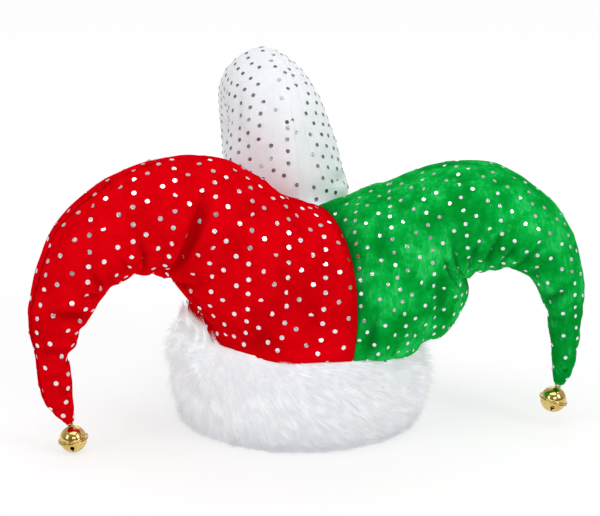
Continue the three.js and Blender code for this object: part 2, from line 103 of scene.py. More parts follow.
class Finish:
    """A material made of nodes. What is the same all over goes straight onto the shader's own sockets."""

    def __init__(self, name, **constants):
        self.material = bpy.data.materials.new(name)
        self.material.use_nodes = True
        self.tree = self.material.node_tree
        self.shader = self.tree.nodes["Principled BSDF"]
        for key, value in constants.items():
            self.shader.inputs[key.replace("_", " ")].default_value = value

    def node(self, kind, settings=None, inputs=None):
        made = self.tree.nodes.new(kind)
        for key, value in (settings or {}).items():
            setattr(made, key, value)
        for key, value in (inputs or {}).items():
            if isinstance(value, Value):
                self.tree.links.new(value.socket, made.inputs[key])
            else:
                made.inputs[key].default_value = value
        return made

    def out(self, made, key=0):
        return Value(self, made.outputs[key])

    def place(self, kind="Object", scale=(1, 1, 1), turn=(0, 0, 0)):
        spot = self.out(self.node("ShaderNodeTexCoord"), kind)
        inputs = {"Vector": spot, "Scale": scale, "Rotation": turn}
        return self.out(self.node("ShaderNodeMapping", {}, inputs))

    def attribute(self, name):
        return self.out(self.node("ShaderNodeAttribute", {"attribute_name": name}), "Fac")

    def clouds(self, scale, place, detail=3.0, distortion=0.0, roughness=0.5):
        inputs = {"Vector": place, "Scale": scale, "Detail": detail, "Roughness": roughness}
        inputs["Distortion"] = distortion
        return self.out(self.node("ShaderNodeTexNoise", {}, inputs))

    def between(self, value, low, high, smooth=True):
        """0 where value is at low or below, 1 where it is at high or above."""
        settings = {"interpolation_type": "SMOOTHSTEP" if smooth else "LINEAR"}
        inputs = {"Value": value, "From Min": low, "From Max": high}
        return self.out(self.node("ShaderNodeMapRange", settings, inputs))

    def mix(self, share, one, other):
        made = self.node("ShaderNodeMix", {"data_type": "RGBA"}, {0: share, 6: one, 7: other})
        return self.out(made, 2)

    def bump(self, height, distance, strength=1.0, normal=None):
        inputs = {"Height": height, "Distance": distance, "Strength": strength}
        if normal:
            inputs["Normal"] = normal
        return self.out(self.node("ShaderNodeBump", {}, inputs))

    def feed(self, **inputs):
        for key, value in inputs.items():
            self.tree.links.new(value.socket, self.shader.inputs[key.replace("_", " ")])
        return self.material


def colour(red, green, blue):
    return (red, green, blue, 1.0)


def in_scene(name, mesh, material=None):
    made = bpy.data.objects.new(name, mesh)
    bpy.context.scene.collection.objects.link(made)
    if material:
        mesh.materials.append(material)
    return made


FLOOR_HALF = 12.0
FLOOR_WHITE = colour(0.3, 0.3, 0.3)
floor_finish = Finish("studio_floor", Roughness=0.9, Specular_IOR_Level=0.0, Emission_Strength=0.84)
floor_finish.shader.inputs["Base Color"].default_value = FLOOR_WHITE
floor_spot = floor_finish.node("ShaderNodeVectorMath", {"operation": "LENGTH"}, {0: floor_finish.place()})
floor_reach = floor_finish.out(floor_spot, "Value")
# Painted shadow: the floor's glow is weakest within 0.1 m of the hat and grows out to 1.7 m.
floor_painted_shade_near = floor_finish.between(floor_reach, 0.1, 0.26) * 0.07
floor_glow_with_painted_shade = floor_finish.between(floor_reach, 0.3, 1.7, smooth=False) * 0.14 + floor_painted_shade_near + 0.785
floor_finish.feed(Emission_Color=floor_glow_with_painted_shade)
floor_cloth = bmesh.new()
bmesh.ops.create_grid(floor_cloth, x_segments=4, y_segments=4, size=FLOOR_HALF)
floor_mesh = bpy.data.meshes.new("studio_floor")
floor_cloth.to_mesh(floor_mesh)
floor_cloth.free()
floor = in_scene("studio_floor", floor_mesh, floor_finish.material)

# Each lamp: where it hangs, how wide and high it is, and its watts. All of them face the hat.
LAMP_AIM = Vector((0, 0, 0.14))
LAMPS = (
    ("lamp_over", (-0.1, -0.5, 1.9), 1.5, 1.2, 12.0),
    ("lamp_left", (-1.8, -1.4, 1.1), 0.8, 1.1, 6.5),
    ("lamp_right", (1.7, -1.3, 1.4), 0.7, 1.1, 12.5),
    ("lamp_front", (0.45, -2.4, 1.3), 1.2, 0.8, 7.5),
    ("lamp_behind", (0.5, 1.9, 1.2), 1.4, 0.8, 5.0),
)
for name, spot, wide, high, watts in LAMPS:
    lamp = bpy.data.lights.new(name, "AREA")
    lamp.shape = "RECTANGLE"
    lamp.size = wide
    lamp.size_y = high
    lamp.energy = watts
    hung = bpy.data.objects.new(name, lamp)
    hung.location = spot
    hung.rotation_euler = (LAMP_AIM - Vector(spot)).to_track_quat("-Z", "Y").to_euler()
    bpy.context.scene.collection.objects.link(hung)

ROOM_DIM = colour(0.22, 0.22, 0.23)
ROOM_BRIGHT = colour(0.56, 0.56, 0.56)
ROOM_SEEN = colour(0.985, 0.985, 0.985)
room = bpy.data.worlds.new("studio_room")
room.use_nodes = True
bpy.context.scene.world = room
room_finish = Finish("room_maths")
room_finish.tree = room.node_tree
room_side = room_finish.node("ShaderNodeSeparateXYZ", {}, {0: room_finish.place("Generated")})
room_rise = room_finish.out(room_side, 1) + room_finish.out(room_side, 2) * 0.8
room_back = room_finish.between(room_rise, -0.5, 0.6)
room_seen = room_finish.out(room_finish.node("ShaderNodeLightPath"), "Is Camera Ray")
room_light = room_finish.mix(room_back, ROOM_DIM, ROOM_BRIGHT)
room_paint = room_finish.mix(room_seen, room_light, ROOM_SEEN)
room_shader = room.node_tree.nodes["Background"]
room.node_tree.links.new(room_paint.socket, room_shader.inputs["Color"])
room_shader.inputs["Strength"].default_value = 1.0
bpy.data.materials.remove(room_finish.material)


# The horns: three bags of short pile velvet, each cut as two panels, sewn along an outer and an inner seam,
# stuffed tight with polyester wool and sewn to its two neighbours down the crown. The inner side is drawn
# over the head's room.
CUFF_HEIGHT = 0.084
GAP = 0.0003
LEAN = math.radians(5)
LEAN_AZIMUTH = math.radians(342)
HEAD_RADIUS = 0.093
HOLLOW_DOME = 0.078
CROWN_RADIUS = 0.104
CROWN_HEIGHT = 0.112
CROWN_FULLNESS = 2.1
CROWN_SLANT = 0.008
CROWN_BULGE = 0.006
ROOT_BLEND = 0.34
TIP_LENGTH = 0.8
SEAM_PINCH = 0.12
SEAM_SHARE = 0.64
SEAM_HALF_ANGLE = math.pi / 3
CLOTH_AROUND = 152
CLOTH_STEP = 15
TIP_ROWS = 6
WALL_ROWS = 5
LINING_ROWS = 16
LINING_MIDDLE_OUT = 0.62
LINING_MIDDLE_UP = 0.7

lean_turn = Matrix.Rotation(LEAN, 4, Vector((-math.sin(LEAN_AZIMUTH), math.cos(LEAN_AZIMUTH), 0)))
crown_slant = Matrix.Identity(4)
crown_slant[0][2] = CROWN_SLANT / CROWN_HEIGHT * math.cos(LEAN_AZIMUTH)
crown_slant[1][2] = CROWN_SLANT / CROWN_HEIGHT * math.sin(LEAN_AZIMUTH)
crown_frame = np.array(Matrix.Translation((0, 0, CUFF_HEIGHT + GAP)) @ lean_turn @ crown_slant)
crown_unframe = np.linalg.inv(crown_frame)


def framed(matrix, points):
    return points @ matrix[:3, :3].T + matrix[:3, 3]


def polar(radius, azimuth, height):
    parts = np.broadcast_arrays(radius * np.cos(azimuth), radius * np.sin(azimuth), height)
    return np.stack(parts, axis=-1).astype(float)


def lengths(vectors):
    return np.linalg.norm(vectors, axis=-1, keepdims=True)


def unit(vectors):
    return vectors / np.maximum(lengths(vectors), 1e-12)


crown_heart = framed(crown_frame, np.array([0, 0, CROWN_HEIGHT / 3]))


def root_ring(horn, around, radius, height, fullness):
    """Down one seam from the top, along the lower edge and up the other seam, in the crown's own frame."""
    share = np.arange(around) / around
    half = np.minimum(share, 1 - share) * 2
    side = np.where(share <= 0.5, 1, -1)
    azimuth = math.radians(horn["azimuth"])
    slope = np.minimum(half / SEAM_SHARE, 1) * math.pi / 2
    down = polar(
        radius * np.sin(slope) ** (2 / fullness),
        azimuth + side * SEAM_HALF_ANGLE,
        height * np.maximum(np.cos(slope), 0) ** (2 / fullness),
    )
    edge = polar(radius, azimuth + side * SEAM_HALF_ANGLE * (1 - half) / (1 - SEAM_SHARE), 0.0)
    return np.where((half < SEAM_SHARE)[:, None], down, edge)


def section_rings(horn, around):
    rows = np.array(horn["sections"])
    out, up, thick, wide, swing = rows.T
    azimuth = np.radians(horn["azimuth"] + horn["turn"] * swing)
    middles = polar(out * horn["reach"], azimuth, up * horn["rise"])
    before = np.concatenate([crown_heart[None], middles[:-1]])
    after = np.concatenate([middles[1:], middles[-1:]])
    along = unit(after - before)
    across = polar(1.0, azimuth + math.pi / 2, 0.0)
    outer = unit(np.cross(along, across))
    turn = np.arange(around) / around * 2 * math.pi
    sideways = np.sign(np.sin(turn)) * np.abs(np.sin(turn)) ** (1 + SEAM_PINCH)
    away = (np.cos(turn)[None, :, None] * (thick * horn["girth"])[:, None, None]) * outer[:, None]
    aside = (sideways[None, :, None] * (wide * horn["girth"])[:, None, None]) * across[:, None]
    tip = middles[-1] + along_last(middles) * thick[-1] * horn["girth"] * TIP_LENGTH
    return middles[:, None] + away + aside, tip


def along_last(middles):
    return unit(middles[-1] - middles[-2])


def rails(rings, step):
    """Rings on smooth rails through the given ones, so many for each stretch."""
    grown = np.concatenate([2 * rings[:1] - rings[1:2], rings, 2 * rings[-1:] - rings[-2:-1]])
    gap = np.maximum(lengths(np.diff(grown, axis=0)), 1e-9) ** 0.5
    share = (np.arange(step) / step)[:, None, None]
    made = []
    for k in range(len(rings) - 1):
        a, b, c, d = grown[k : k + 4]
        g0, g1, g2 = gap[k : k + 3]
        leave = ((b - a) / g0 - (c - a) / (g0 + g1) + (c - b) / g1) * g1
        arrive = ((c - b) / g1 - (d - b) / (g1 + g2) + (d - c) / g2) * g1
        bend = -3 * b + 3 * c - 2 * leave - arrive
        made.append(b + leave * share + bend * share**2 + (2 * b - 2 * c + leave + arrive) * share**3)
    return np.concatenate([*made, rings[-1:]])


def facing(points):
    """The outward directions of a skin that is given as rings of points from the root to the tip."""
    around = np.roll(points, -1, axis=1) - np.roll(points, 1, axis=1)
    along = np.gradient(points, axis=0)
    out = unit(np.cross(around, along))
    middles = points.mean(axis=1, keepdims=True)
    return out * np.sign(np.sum(out * (points - middles)))


def within_seams(horn, points):
    """Where a horn leans on its neighbour the seam holds it back."""
    local = framed(crown_unframe, points)
    for side in (-1, 1):
        past_seam = polar(1.0, math.radians(horn["azimuth"]) + side * (SEAM_HALF_ANGLE + math.pi / 2), 0.0)
        past = np.maximum(local @ past_seam, 0)
        local = local - past[..., None] * past_seam
    return framed(crown_frame, local)


def uneven(points, size, seed):
    """Soft lumps from -1 to 1, each about size across."""
    flat = points.reshape(-1, 3) / size + np.array([seed * 17.3, seed * 5.1, seed * 9.7])
    return np.array([noise.noise(p) for p in flat]).reshape(points.shape[:-1]) * 1.6


def fold_depth(horn, points):
    """The deep folds across a horn, which draw the cloth in towards its middle."""
    middles = points.mean(axis=1)
    ring_gap = np.linalg.norm(np.diff(middles, axis=0), axis=-1) * CLOTH_STEP
    ring_gap = np.concatenate([ring_gap[:1], ring_gap])[:, None]
    place = (np.arange(len(points)) / CLOTH_STEP - 1)[:, None]
    turn = (np.arange(points.shape[1]) / points.shape[1] * 360)[None]
    depth = np.zeros(points.shape[:2])
    for at, round_at, spread, width, deep in horn["folds"]:
        along = (place - at) * ring_gap / (width * horn["girth"])
        around = (turn - round_at) / spread
        depth += deep * horn["girth"] * np.exp(-along * along - around * around)
    depth[0] = 0
    return depth


def crease_depth(horn, points):
    """The finer creases, each of which runs from one place and turn to another."""
    middles = points.mean(axis=1)
    run = np.concatenate([[0], np.cumsum(np.linalg.norm(np.diff(middles, axis=0), axis=-1))])
    girth = np.linalg.norm(np.roll(points, -1, axis=1) - points, axis=-1).sum(axis=1)
    turn = np.arange(points.shape[1]) / points.shape[1] * 360
    depth = np.zeros(points.shape[:2])
    for place_a, turn_a, place_b, turn_b, width, deep in horn["creases"]:
        rows = (np.array([place_a, place_b]) + 1) * CLOTH_STEP
        run_a, run_b = np.interp(rows, np.arange(len(run)), run)
        round_a = np.array([run_a, 0.0])
        turn_gap = (turn_b - turn_a) / 360 * girth[np.clip(int(rows.mean()), 0, len(girth) - 1)]
        round_b = np.array([run_b, turn_gap])
        offset = ((turn - turn_a + 180) % 360 - 180)[None] / 360 * girth[:, None]
        spot = np.stack([np.broadcast_to(run[:, None], offset.shape), offset], axis=-1) - round_a
        line = round_b - round_a
        reach = max(np.linalg.norm(line), 1e-6)
        share = np.clip(spot @ line / reach**2, 0, 1)
        away = np.linalg.norm(spot - share[..., None] * line, axis=-1) / (width / 1000)
        fade = np.clip(np.sin(math.pi * np.clip(share, 0.04, 0.96)), 0, 1) ** 0.6
        valley = np.exp(-(away**2)) - 0.42 * np.exp(-((away - 1.9) ** 2) / 1.1)
        depth += deep / 1000 * fade * valley
    return depth


SEAM_DEPTH = 0.0016
SEAM_WIDTH = 0.0018
PUCKER_REACH = 0.011
PUCKER_LENGTH = 0.0075
PUCKER_HEIGHT = 0.0011
RIM_PUCKER_REACH = 0.010
RIM_PUCKER_LENGTH = 0.008
RIM_PUCKER_HEIGHT = 0.0014
LUMP_SIZE = 0.048
LUMP_HEIGHT = 0.0016
CRUMPLE_SIZE = 0.017
CRUMPLE_HEIGHT = 0.00045
# Depth of crease at which its painted shade is full; reach from the root of the painted shade by the seams.
FOLD_SHADE_DEPTH = 0.0038
ROOT_SHADE_REACH = 0.011


def seam_distance(horn, around):
    """How far round the horn the nearer seam is, as a share of a full turn."""
    turn = np.arange(around) / around
    return np.min([np.abs((turn - seam / 360 + 0.5) % 1 - 0.5) for seam in horn["seams"]], axis=0)


def seam_relief(horn, points):
    """The groove along both seams, the puckers that the stitches draw, and the stuffing's soft lumps."""
    rows, around = points.shape[:2]
    middles = points.mean(axis=1)
    run = np.concatenate([[0], np.cumsum(np.linalg.norm(np.diff(middles, axis=0), axis=-1))])
    girth = np.linalg.norm(np.roll(points, -1, axis=1) - points, axis=-1).sum(axis=1)
    turn = np.arange(around) / around
    away = seam_distance(horn, around)[None] * girth[:, None]
    relief = -SEAM_DEPTH * horn["drawn"] * np.exp(-((away / SEAM_WIDTH) ** 2))
    outer = np.minimum(turn, 1 - turn)[None] < 0.25
    calm = np.where(outer, 1.0, 0.35)
    seed = horn["seed"]
    wave = np.array(
        [[noise.noise(Vector((r / PUCKER_LENGTH, seed + side * 9.1, 0.3))) for r in run] for side in (0, 1)]
    )
    side_wave = np.where(outer, wave[0][:, None], wave[1][:, None])
    strength = np.minimum(away / 0.002, 1) * np.exp(-away / PUCKER_REACH)
    relief += PUCKER_HEIGHT * 1.6 * side_wave * strength * calm * horn["drawn"]
    rim_turn = np.arange(around) / around * girth[0]
    rim_wave = np.array([noise.noise(Vector((r / RIM_PUCKER_LENGTH, seed + 3.3, 1.7))) for r in rim_turn])
    rise = np.linalg.norm(points - points[:1], axis=-1)
    rim_fade = np.exp(-rise / RIM_PUCKER_REACH) * np.minimum(rise / 0.003, 1)
    relief += RIM_PUCKER_HEIGHT * rim_wave[None] * rim_fade
    relief += LUMP_HEIGHT * uneven(points, LUMP_SIZE, seed)
    relief += CRUMPLE_HEIGHT * uneven(points, CRUMPLE_SIZE, seed + 4)
    fade = np.minimum(np.arange(rows) / CLOTH_STEP, 1)[:, None]
    return relief * fade


def sagged(horn, skin):
    """The skin with the slack of its cloth, which hangs down and stands out a little."""
    place = (np.arange(len(skin)) / CLOTH_STEP - 1)[:, None]
    turn = (np.arange(skin.shape[1]) / skin.shape[1] * 360)[None]
    held = np.minimum(np.arange(len(skin)) / 5, 1)[:, None]
    out = unit(skin * [1, 1, 0])
    for at, round_at, along, around, drop, aside in horn["sags"]:
        share = np.exp(-(((place - at) / along) ** 2) - ((turn - round_at) / around) ** 2) * held
        skin = skin + share[..., None] * (out * aside / 1000 - np.array([0, 0, drop / 1000]))
    return skin


def seam_marks(horn, skin, rings):
    """For every point of the closed cloth: how far it is from a seam, and how far along the horn."""
    run = np.linalg.norm(np.diff(skin.mean(axis=1), axis=0), axis=-1)
    run = np.concatenate([[0], np.cumsum(run)])
    girth = np.linalg.norm(np.roll(skin, -1, axis=1) - skin, axis=-1).sum(axis=1)
    to_seam = seam_distance(horn, skin.shape[1])
    gap = np.full(rings.shape[:2], 0.02)
    along = np.zeros(rings.shape[:2])
    first = LINING_ROWS + WALL_ROWS - 1
    gap[first : first + len(skin)] = to_seam[None] * girth[:, None]
    gap[first] = 0
    gap[first + len(skin) :] = gap[first + len(skin) - 1]
    along[first : first + len(skin)] = run[:, None]
    along[first + len(skin) :] = run[-1]
    shade = np.zeros(rings.shape[:2])
    half = np.minimum(np.arange(skin.shape[1]), skin.shape[1] - np.arange(skin.shape[1])) / skin.shape[1] * 2
    rise = np.linalg.norm(skin - skin[:1], axis=-1)
    # Painted shade at the root beside the seams, where the neighbouring horn shades the cloth.
    shade_painted_at_root = horn["painted_root_shade"] * np.exp(-rise / ROOT_SHADE_REACH) * np.clip((SEAM_SHARE - half) / 0.1, 0.25, 1)
    # Darker towards the tip.
    towards_tip = np.clip((np.arange(len(skin)) / CLOTH_STEP - 6) / 4, 0, 1)[:, None] * horn["tip_shade"]
    # Painted shade in the creases, full where a crease is FOLD_SHADE_DEPTH deep.
    painted_fold_shade = crease_depth(horn, skin) / FOLD_SHADE_DEPTH
    shade[first : first + len(skin)] = np.clip(painted_fold_shade + shade_painted_at_root + towards_tip, 0, 1)
    return {"seam_gap": gap, "seam_run": along, "painted_shade": shade}


def horn_cloth(horn):
    """The outer skin of a horn as rings of points, and the point where its bell hangs."""
    sections, tip = section_rings(horn, CLOTH_AROUND)
    root = framed(crown_frame, root_ring(horn, CLOTH_AROUND, CROWN_RADIUS, CROWN_HEIGHT, CROWN_FULLNESS))
    half = np.minimum(np.arange(CLOTH_AROUND), CLOTH_AROUND - np.arange(CLOTH_AROUND)) / CLOTH_AROUND * 2
    bulge = root + (sections[0] - root) * ROOT_BLEND
    bulge = bulge + unit(root - crown_heart) * CROWN_BULGE * np.sin(math.pi * half)[:, None]
    skin = rails(np.concatenate([root[None], bulge[None], sections]), CLOTH_STEP)
    skin = sagged(horn, skin)
    smooth = skin.copy()
    middles = skin.mean(axis=1, keepdims=True)
    skin = skin + unit(middles - skin) * fold_depth(horn, skin)[..., None]
    relief = seam_relief(horn, smooth) - crease_depth(horn, smooth)
    relief[0] = 0
    skin = skin + facing(skin) * relief[..., None]
    skin = within_seams(horn, skin)
    aside = polar(GAP / 2 / math.sin(SEAM_HALF_ANGLE), math.radians(horn["azimuth"]), 0.0)
    aside = np.array(lean_turn)[:3, :3] @ aside
    return skin + aside, smooth + aside, tip + aside, aside


def closed_cloth(horn, skin, tip, aside):
    """The skin closed with a round tip, and below with the lining over the head's room."""
    lining = root_ring(horn, CLOTH_AROUND, HEAD_RADIUS, HOLLOW_DOME, 2)
    azimuth = math.radians(horn["azimuth"])
    centre = polar(HEAD_RADIUS * LINING_MIDDLE_OUT, azimuth, HOLLOW_DOME * LINING_MIDDLE_UP)
    share = np.linspace(1, 0, LINING_ROWS)[:, None, None]
    dome = lining * (1 - share) + centre * share
    size = np.array([HEAD_RADIUS, HEAD_RADIUS, HOLLOW_DOME])
    dome = framed(crown_frame, dome / lengths(dome / size)) + aside
    wall = dome[-1] + (skin[0] - dome[-1]) * (np.arange(1, WALL_ROWS) / WALL_ROWS)[:, None, None]
    last = skin[-1]
    middle = last.mean(axis=0)
    slope = (np.arange(1, TIP_ROWS + 1) / TIP_ROWS * math.pi / 2)[:, None, None]
    cap = middle + (last - middle) * np.cos(slope) + (tip - middle) * np.sin(slope)
    return np.concatenate([dome, wall, skin, cap])


def bent_grid(name, rings, material, marks=None):
    """A grid bent round through closed rings of points, with its seam and its two ends drawn together."""
    rows, around = rings.shape[:2]
    sheet = bmesh.new()
    bmesh.ops.create_grid(sheet, x_segments=around, y_segments=rows - 1, size=0.5)
    wrapped = np.concatenate([rings, rings[:, :1]], axis=1).reshape(-1, 3)
    for vert, spot in zip(sheet.verts, wrapped):
        vert.co = spot
    for key, values in (marks or {}).items():
        layer = sheet.verts.layers.float.new(key)
        wrapped = np.concatenate([values, values[:, :1]], axis=1).reshape(-1)
        for vert, value in zip(sheet.verts, wrapped):
            vert[layer] = value
    bmesh.ops.remove_doubles(sheet, verts=sheet.verts, dist=2e-6)
    bmesh.ops.recalc_face_normals(sheet, faces=sheet.faces)
    for face in sheet.faces:
        face.smooth = True
    mesh = bpy.data.meshes.new(name)
    sheet.to_mesh(mesh)
    sheet.free()
    return in_scene(name, mesh, material)


# The dots: foil printed on the flat velvet in columns, every third of them close set and the two between it
# open, half a step apart. Each panel is laid flat again to find where its dots came to lie.
DOT_RISE = 0.00028
DOT_SIDES = 11
DOT_TILT = 0.12
DOT_DRIFT = 0.0004
DOT_NET_REACH = 0.0037
LAY_ROUNDS = 500
LAY_ROW_STEP = 5
LAY_AROUND_STEP = 4
DOT_FREE_ROWS = 2
GATHER = 0.18


def lay_flat(points, inner_first):
    """Flat places for a panel's points, by letting its net of threads relax in a plane. The panel's inner
    side is gathered when it is sewn, so there the flat cloth is longer than the stuffed horn."""
    out = unit(facing(points)[:, 4:-4].reshape(-1, 3).sum(axis=0))
    level = unit(np.cross([0, 0, 1], out))
    upright = np.cross(out, level)
    rows = np.arange(0, points.shape[0], LAY_ROW_STEP)
    columns = np.arange(0, points.shape[1], LAY_AROUND_STEP)
    net = points[rows][:, columns]
    inner = np.linspace(1, 0, len(columns)) if inner_first else np.linspace(0, 1, len(columns))
    flat = np.stack([net @ level, net @ upright], axis=-1)
    threads = []
    for near, far in (
        (np.s_[:-1, :], np.s_[1:, :]),
        (np.s_[:, :-1], np.s_[:, 1:]),
        (np.s_[:-1, :-1], np.s_[1:, 1:]),
        (np.s_[1:, :-1], np.s_[:-1, 1:]),
    ):
        rest = np.linalg.norm(net[far] - net[near], axis=-1)
        if near[0] == np.s_[:-1] and far[0] == np.s_[1:]:
            rest = rest * (1 + GATHER * inner[near[1]] ** 2)
        threads.append((near, far, rest))
    for _ in range(LAY_ROUNDS):
        pull = np.zeros_like(flat)
        count = np.zeros(flat.shape[:2] + (1,))
        for near, far, rest in threads:
            gap = flat[far] - flat[near]
            now = np.maximum(np.linalg.norm(gap, axis=-1), 1e-9)
            mend = gap * ((now - rest) / now * 0.5)[..., None]
            pull[near] += mend
            pull[far] -= mend
            count[near] += 1
            count[far] += 1
        flat += pull / count * 1.4
    fine = np.empty((points.shape[0], len(columns), 2))
    laid = np.empty(points.shape[:2] + (2,))
    for part in (0, 1):
        for j in range(len(columns)):
            fine[:, j, part] = np.interp(np.arange(points.shape[0]), rows, flat[:, j, part])
        for k in range(points.shape[0]):
            laid[k, :, part] = np.interp(np.arange(points.shape[1]), columns, fine[k, :, part])
    return laid


def dot_spots(points, smooth, start, inner_first, pitch, column_gap, open_columns, draw):
    """Where a panel's dots lie: places and outward directions. start is the row and column of one dot."""
    flat = lay_flat(smooth, inner_first)
    rows, columns = flat.shape[:2]
    along, around = np.gradient(flat, axis=0), np.gradient(flat, axis=1)
    lift, aside = np.gradient(points, axis=0), np.gradient(points, axis=1)
    k, i = start
    turn_to = np.stack([along[k, i], around[k, i]])
    rise = np.stack([np.gradient(smooth, axis=0)[k, i], np.gradient(smooth, axis=1)[k, i]])
    gram = np.array([[turn_to[0] @ turn_to[0], turn_to[0] @ turn_to[1]], [0, turn_to[1] @ turn_to[1]]])
    gram[1, 0] = gram[0, 1]
    upward = np.linalg.solve(gram, rise @ np.array([0, 0, 1.0])) @ turn_to
    upward = upward / np.linalg.norm(upward)
    rightward = np.array([upward[1], -upward[0]])
    local = (flat - flat[k, i]) @ np.stack([rightward, upward]).T
    low, high = local.reshape(-1, 2).min(axis=0), local.reshape(-1, 2).max(axis=0)
    wanted = []
    for column in range(int(low[0] / column_gap) - 1, int(high[0] / column_gap) + 2):
        first, gap = ((0, 1), (0.5, 2), (1.5, 2))[column % 3] if open_columns else (column % 2 * 0.5, 1)
        for row in range(int(low[1] / pitch) - 3, int(high[1] / pitch) + 3):
            if gap == 1 or row % 2 == 0:
                wanted.append((column * column_gap, (row + first) * pitch))
    wanted = np.array(wanted) + draw.normal(0, DOT_DRIFT, (len(wanted), 2))
    net = local.reshape(-1, 2)
    spots, outs = [], []
    out = unit(np.cross(aside, lift))
    for want in wanted:
        gap = np.sum((net - want) ** 2, axis=-1)
        nearest = int(np.argmin(gap))
        if gap[nearest] > DOT_NET_REACH**2:
            continue
        k, i = divmod(nearest, columns)
        if k < DOT_FREE_ROWS or k > rows - 4 or i < 1 or i > columns - 2:
            continue
        flat_steps = np.stack([along[k, i], around[k, i]]) @ np.stack([rightward, upward]).T
        if abs(np.linalg.det(flat_steps)) < 1e-9:
            continue
        step = (want - net[nearest]) @ np.linalg.inv(flat_steps)
        step = np.clip(step, -1.5, 1.5)
        spots.append(points[k, i] + lift[k, i] * step[0] + aside[k, i] * step[1])
        outs.append(out[k, i])
    return np.array(spots), np.array(outs)


def foil_dots(name, spots, outs, radius, draw, finish):
    """One mesh of thin round foil discs, each with a small dimple in its middle and a little tilted."""
    turn = np.arange(DOT_SIDES) / DOT_SIDES * 2 * math.pi
    ring = np.stack([np.cos(turn), np.sin(turn), np.zeros(DOT_SIDES)], axis=-1)
    shape = np.concatenate(
        [
            ring * radius - [0, 0, DOT_RISE],
            ring * radius + [0, 0, DOT_RISE * 0.5],
            ring * radius * 0.42 + [0, 0, DOT_RISE * 1.1],
            [[0, 0, DOT_RISE * 0.5]],
        ]
    )
    faces = []
    for i in range(DOT_SIDES):
        j = (i + 1) % DOT_SIDES
        for low in (0, DOT_SIDES):
            faces.append((low + i, low + j, low + DOT_SIDES + j, low + DOT_SIDES + i))
        faces.append((2 * DOT_SIDES + i, 2 * DOT_SIDES + j, 3 * DOT_SIDES))
    faces.append(tuple(reversed(range(DOT_SIDES))))
    up = unit(outs + draw.normal(0, DOT_TILT, outs.shape))
    right = unit(np.cross(up, [0.13, 0.31, 0.94]))
    ahead = np.cross(up, right)
    frames = np.stack([right, ahead, up], axis=1)
    places = (shape[None] @ frames + spots[:, None]).reshape(-1, 3)
    all_faces = [tuple(c + n * len(shape) for c in face) for n in range(len(spots)) for face in faces]
    mesh = bpy.data.meshes.new(name)
    mesh.from_pydata(places.tolist(), [], all_faces)
    mesh.shade_smooth()
    mesh.set_sharp_from_angle(angle=math.radians(40))
    middle = np.tile(np.append(np.zeros(3 * DOT_SIDES), 1.0), len(spots))
    mesh.attributes.new("middle", "FLOAT", "POINT").data.foreach_set("value", middle)
    return in_scene(name, mesh, finish)


def velvet(name, plain, deep, crushed, sheen, crush, mottle, line, painted_shade_strength, drawn_in):
    """Short pile velvet: the pile leans this way and that, so it shows lighter and darker brushed patches."""
    finish = Finish(name, Sheen_Weight=0.22, Sheen_Roughness=0.35, Specular_IOR_Level=0.0)
    finish.shader.inputs["Sheen Tint"].default_value = sheen
    spot = finish.place()
    brushed = finish.clouds(34, spot, detail=8, distortion=0.15, roughness=0.68)
    streaks = finish.clouds(260, finish.place(scale=(1, 1, 0.3), turn=(0.2, 0.5, 0)), detail=6, roughness=0.7)
    pile = finish.clouds(1500, spot, detail=2)
    shade = finish.mix(finish.between(brushed, 0.34, 0.6), deep, plain)
    shade = finish.mix(finish.between(brushed * 0.55 + streaks * 0.45, 0.49, 0.66) * crush, shade, crushed)
    shade = finish.mix((1 - finish.between(pile, 0.2, 0.55, smooth=False)) * 0.12, shade, deep)
    # Painted shade: darker in the creases and at the root beside the seams, and darker towards the tip.
    painted_fold_shade = colour(*(c * 0.5 for c in deep[:3]))
    shade = finish.mix(finish.attribute("painted_shade") * painted_shade_strength, shade, painted_fold_shade)
    seam_gap = finish.attribute("seam_gap")
    stitch = (finish.attribute("seam_run") * (2 * math.pi / STITCH_LENGTH)).wave() * 0.5 + 0.5
    groove = finish.between(seam_gap, 0.0, 0.0015)
    # Painted shade in the seam groove: a dark line along each seam, line setting how dark it is.
    painted_seam_shade = colour(*(c * line for c in deep[:3]))
    shade = finish.mix((1 - finish.between(seam_gap, 0.00025, 0.0011)) * 0.8, shade, painted_seam_shade)
    beside = finish.between(seam_gap, 0.0005, 0.0045) * (1 - finish.between(seam_gap, 0.001, 0.0075))
    drawn = stitch * beside
    bump = finish.bump(brushed, 0.004, mottle)
    bump = finish.bump(pile * 0.5 + streaks * 0.5, 0.0006, 0.5, bump)
    bump = finish.bump(groove + drawn * 0.3, 0.0012, drawn_in, bump)
    return finish.feed(Base_Color=shade, Roughness=0.74 + brushed * 0.2, Normal=bump)


STITCH_LENGTH = 0.0042
red_velvet = velvet(
    "red_velvet",
    plain=colour(0.72, 0.0004, 0.0045),
    deep=colour(0.58, 0.0002, 0.003),
    crushed=colour(0.8, 0.001, 0.006),
    sheen=colour(1.0, 0.004, 0.02),
    crush=0.25,
    mottle=0.1,
    line=0.3,
    painted_shade_strength=0.6,
    drawn_in=0.9,
)
green_velvet = velvet(
    "green_velvet",
    plain=colour(0.0015, 0.45, 0.055),
    deep=colour(0.0007, 0.26, 0.022),
    crushed=colour(0.04, 0.66, 0.15),
    sheen=colour(0.1, 1.0, 0.3),
    crush=0.85,
    mottle=0.28,
    line=0.2,
    painted_shade_strength=0.8,
    drawn_in=0.9,
)
white_velvet = velvet(
    "white_velvet",
    plain=colour(0.86, 0.885, 0.92),
    deep=colour(0.82, 0.845, 0.885),
    crushed=colour(0.9, 0.915, 0.94),
    sheen=colour(1.0, 1.0, 1.0),
    crush=0.4,
    mottle=0.1,
    line=0.95,
    painted_shade_strength=0.15,
    drawn_in=0.2,
)


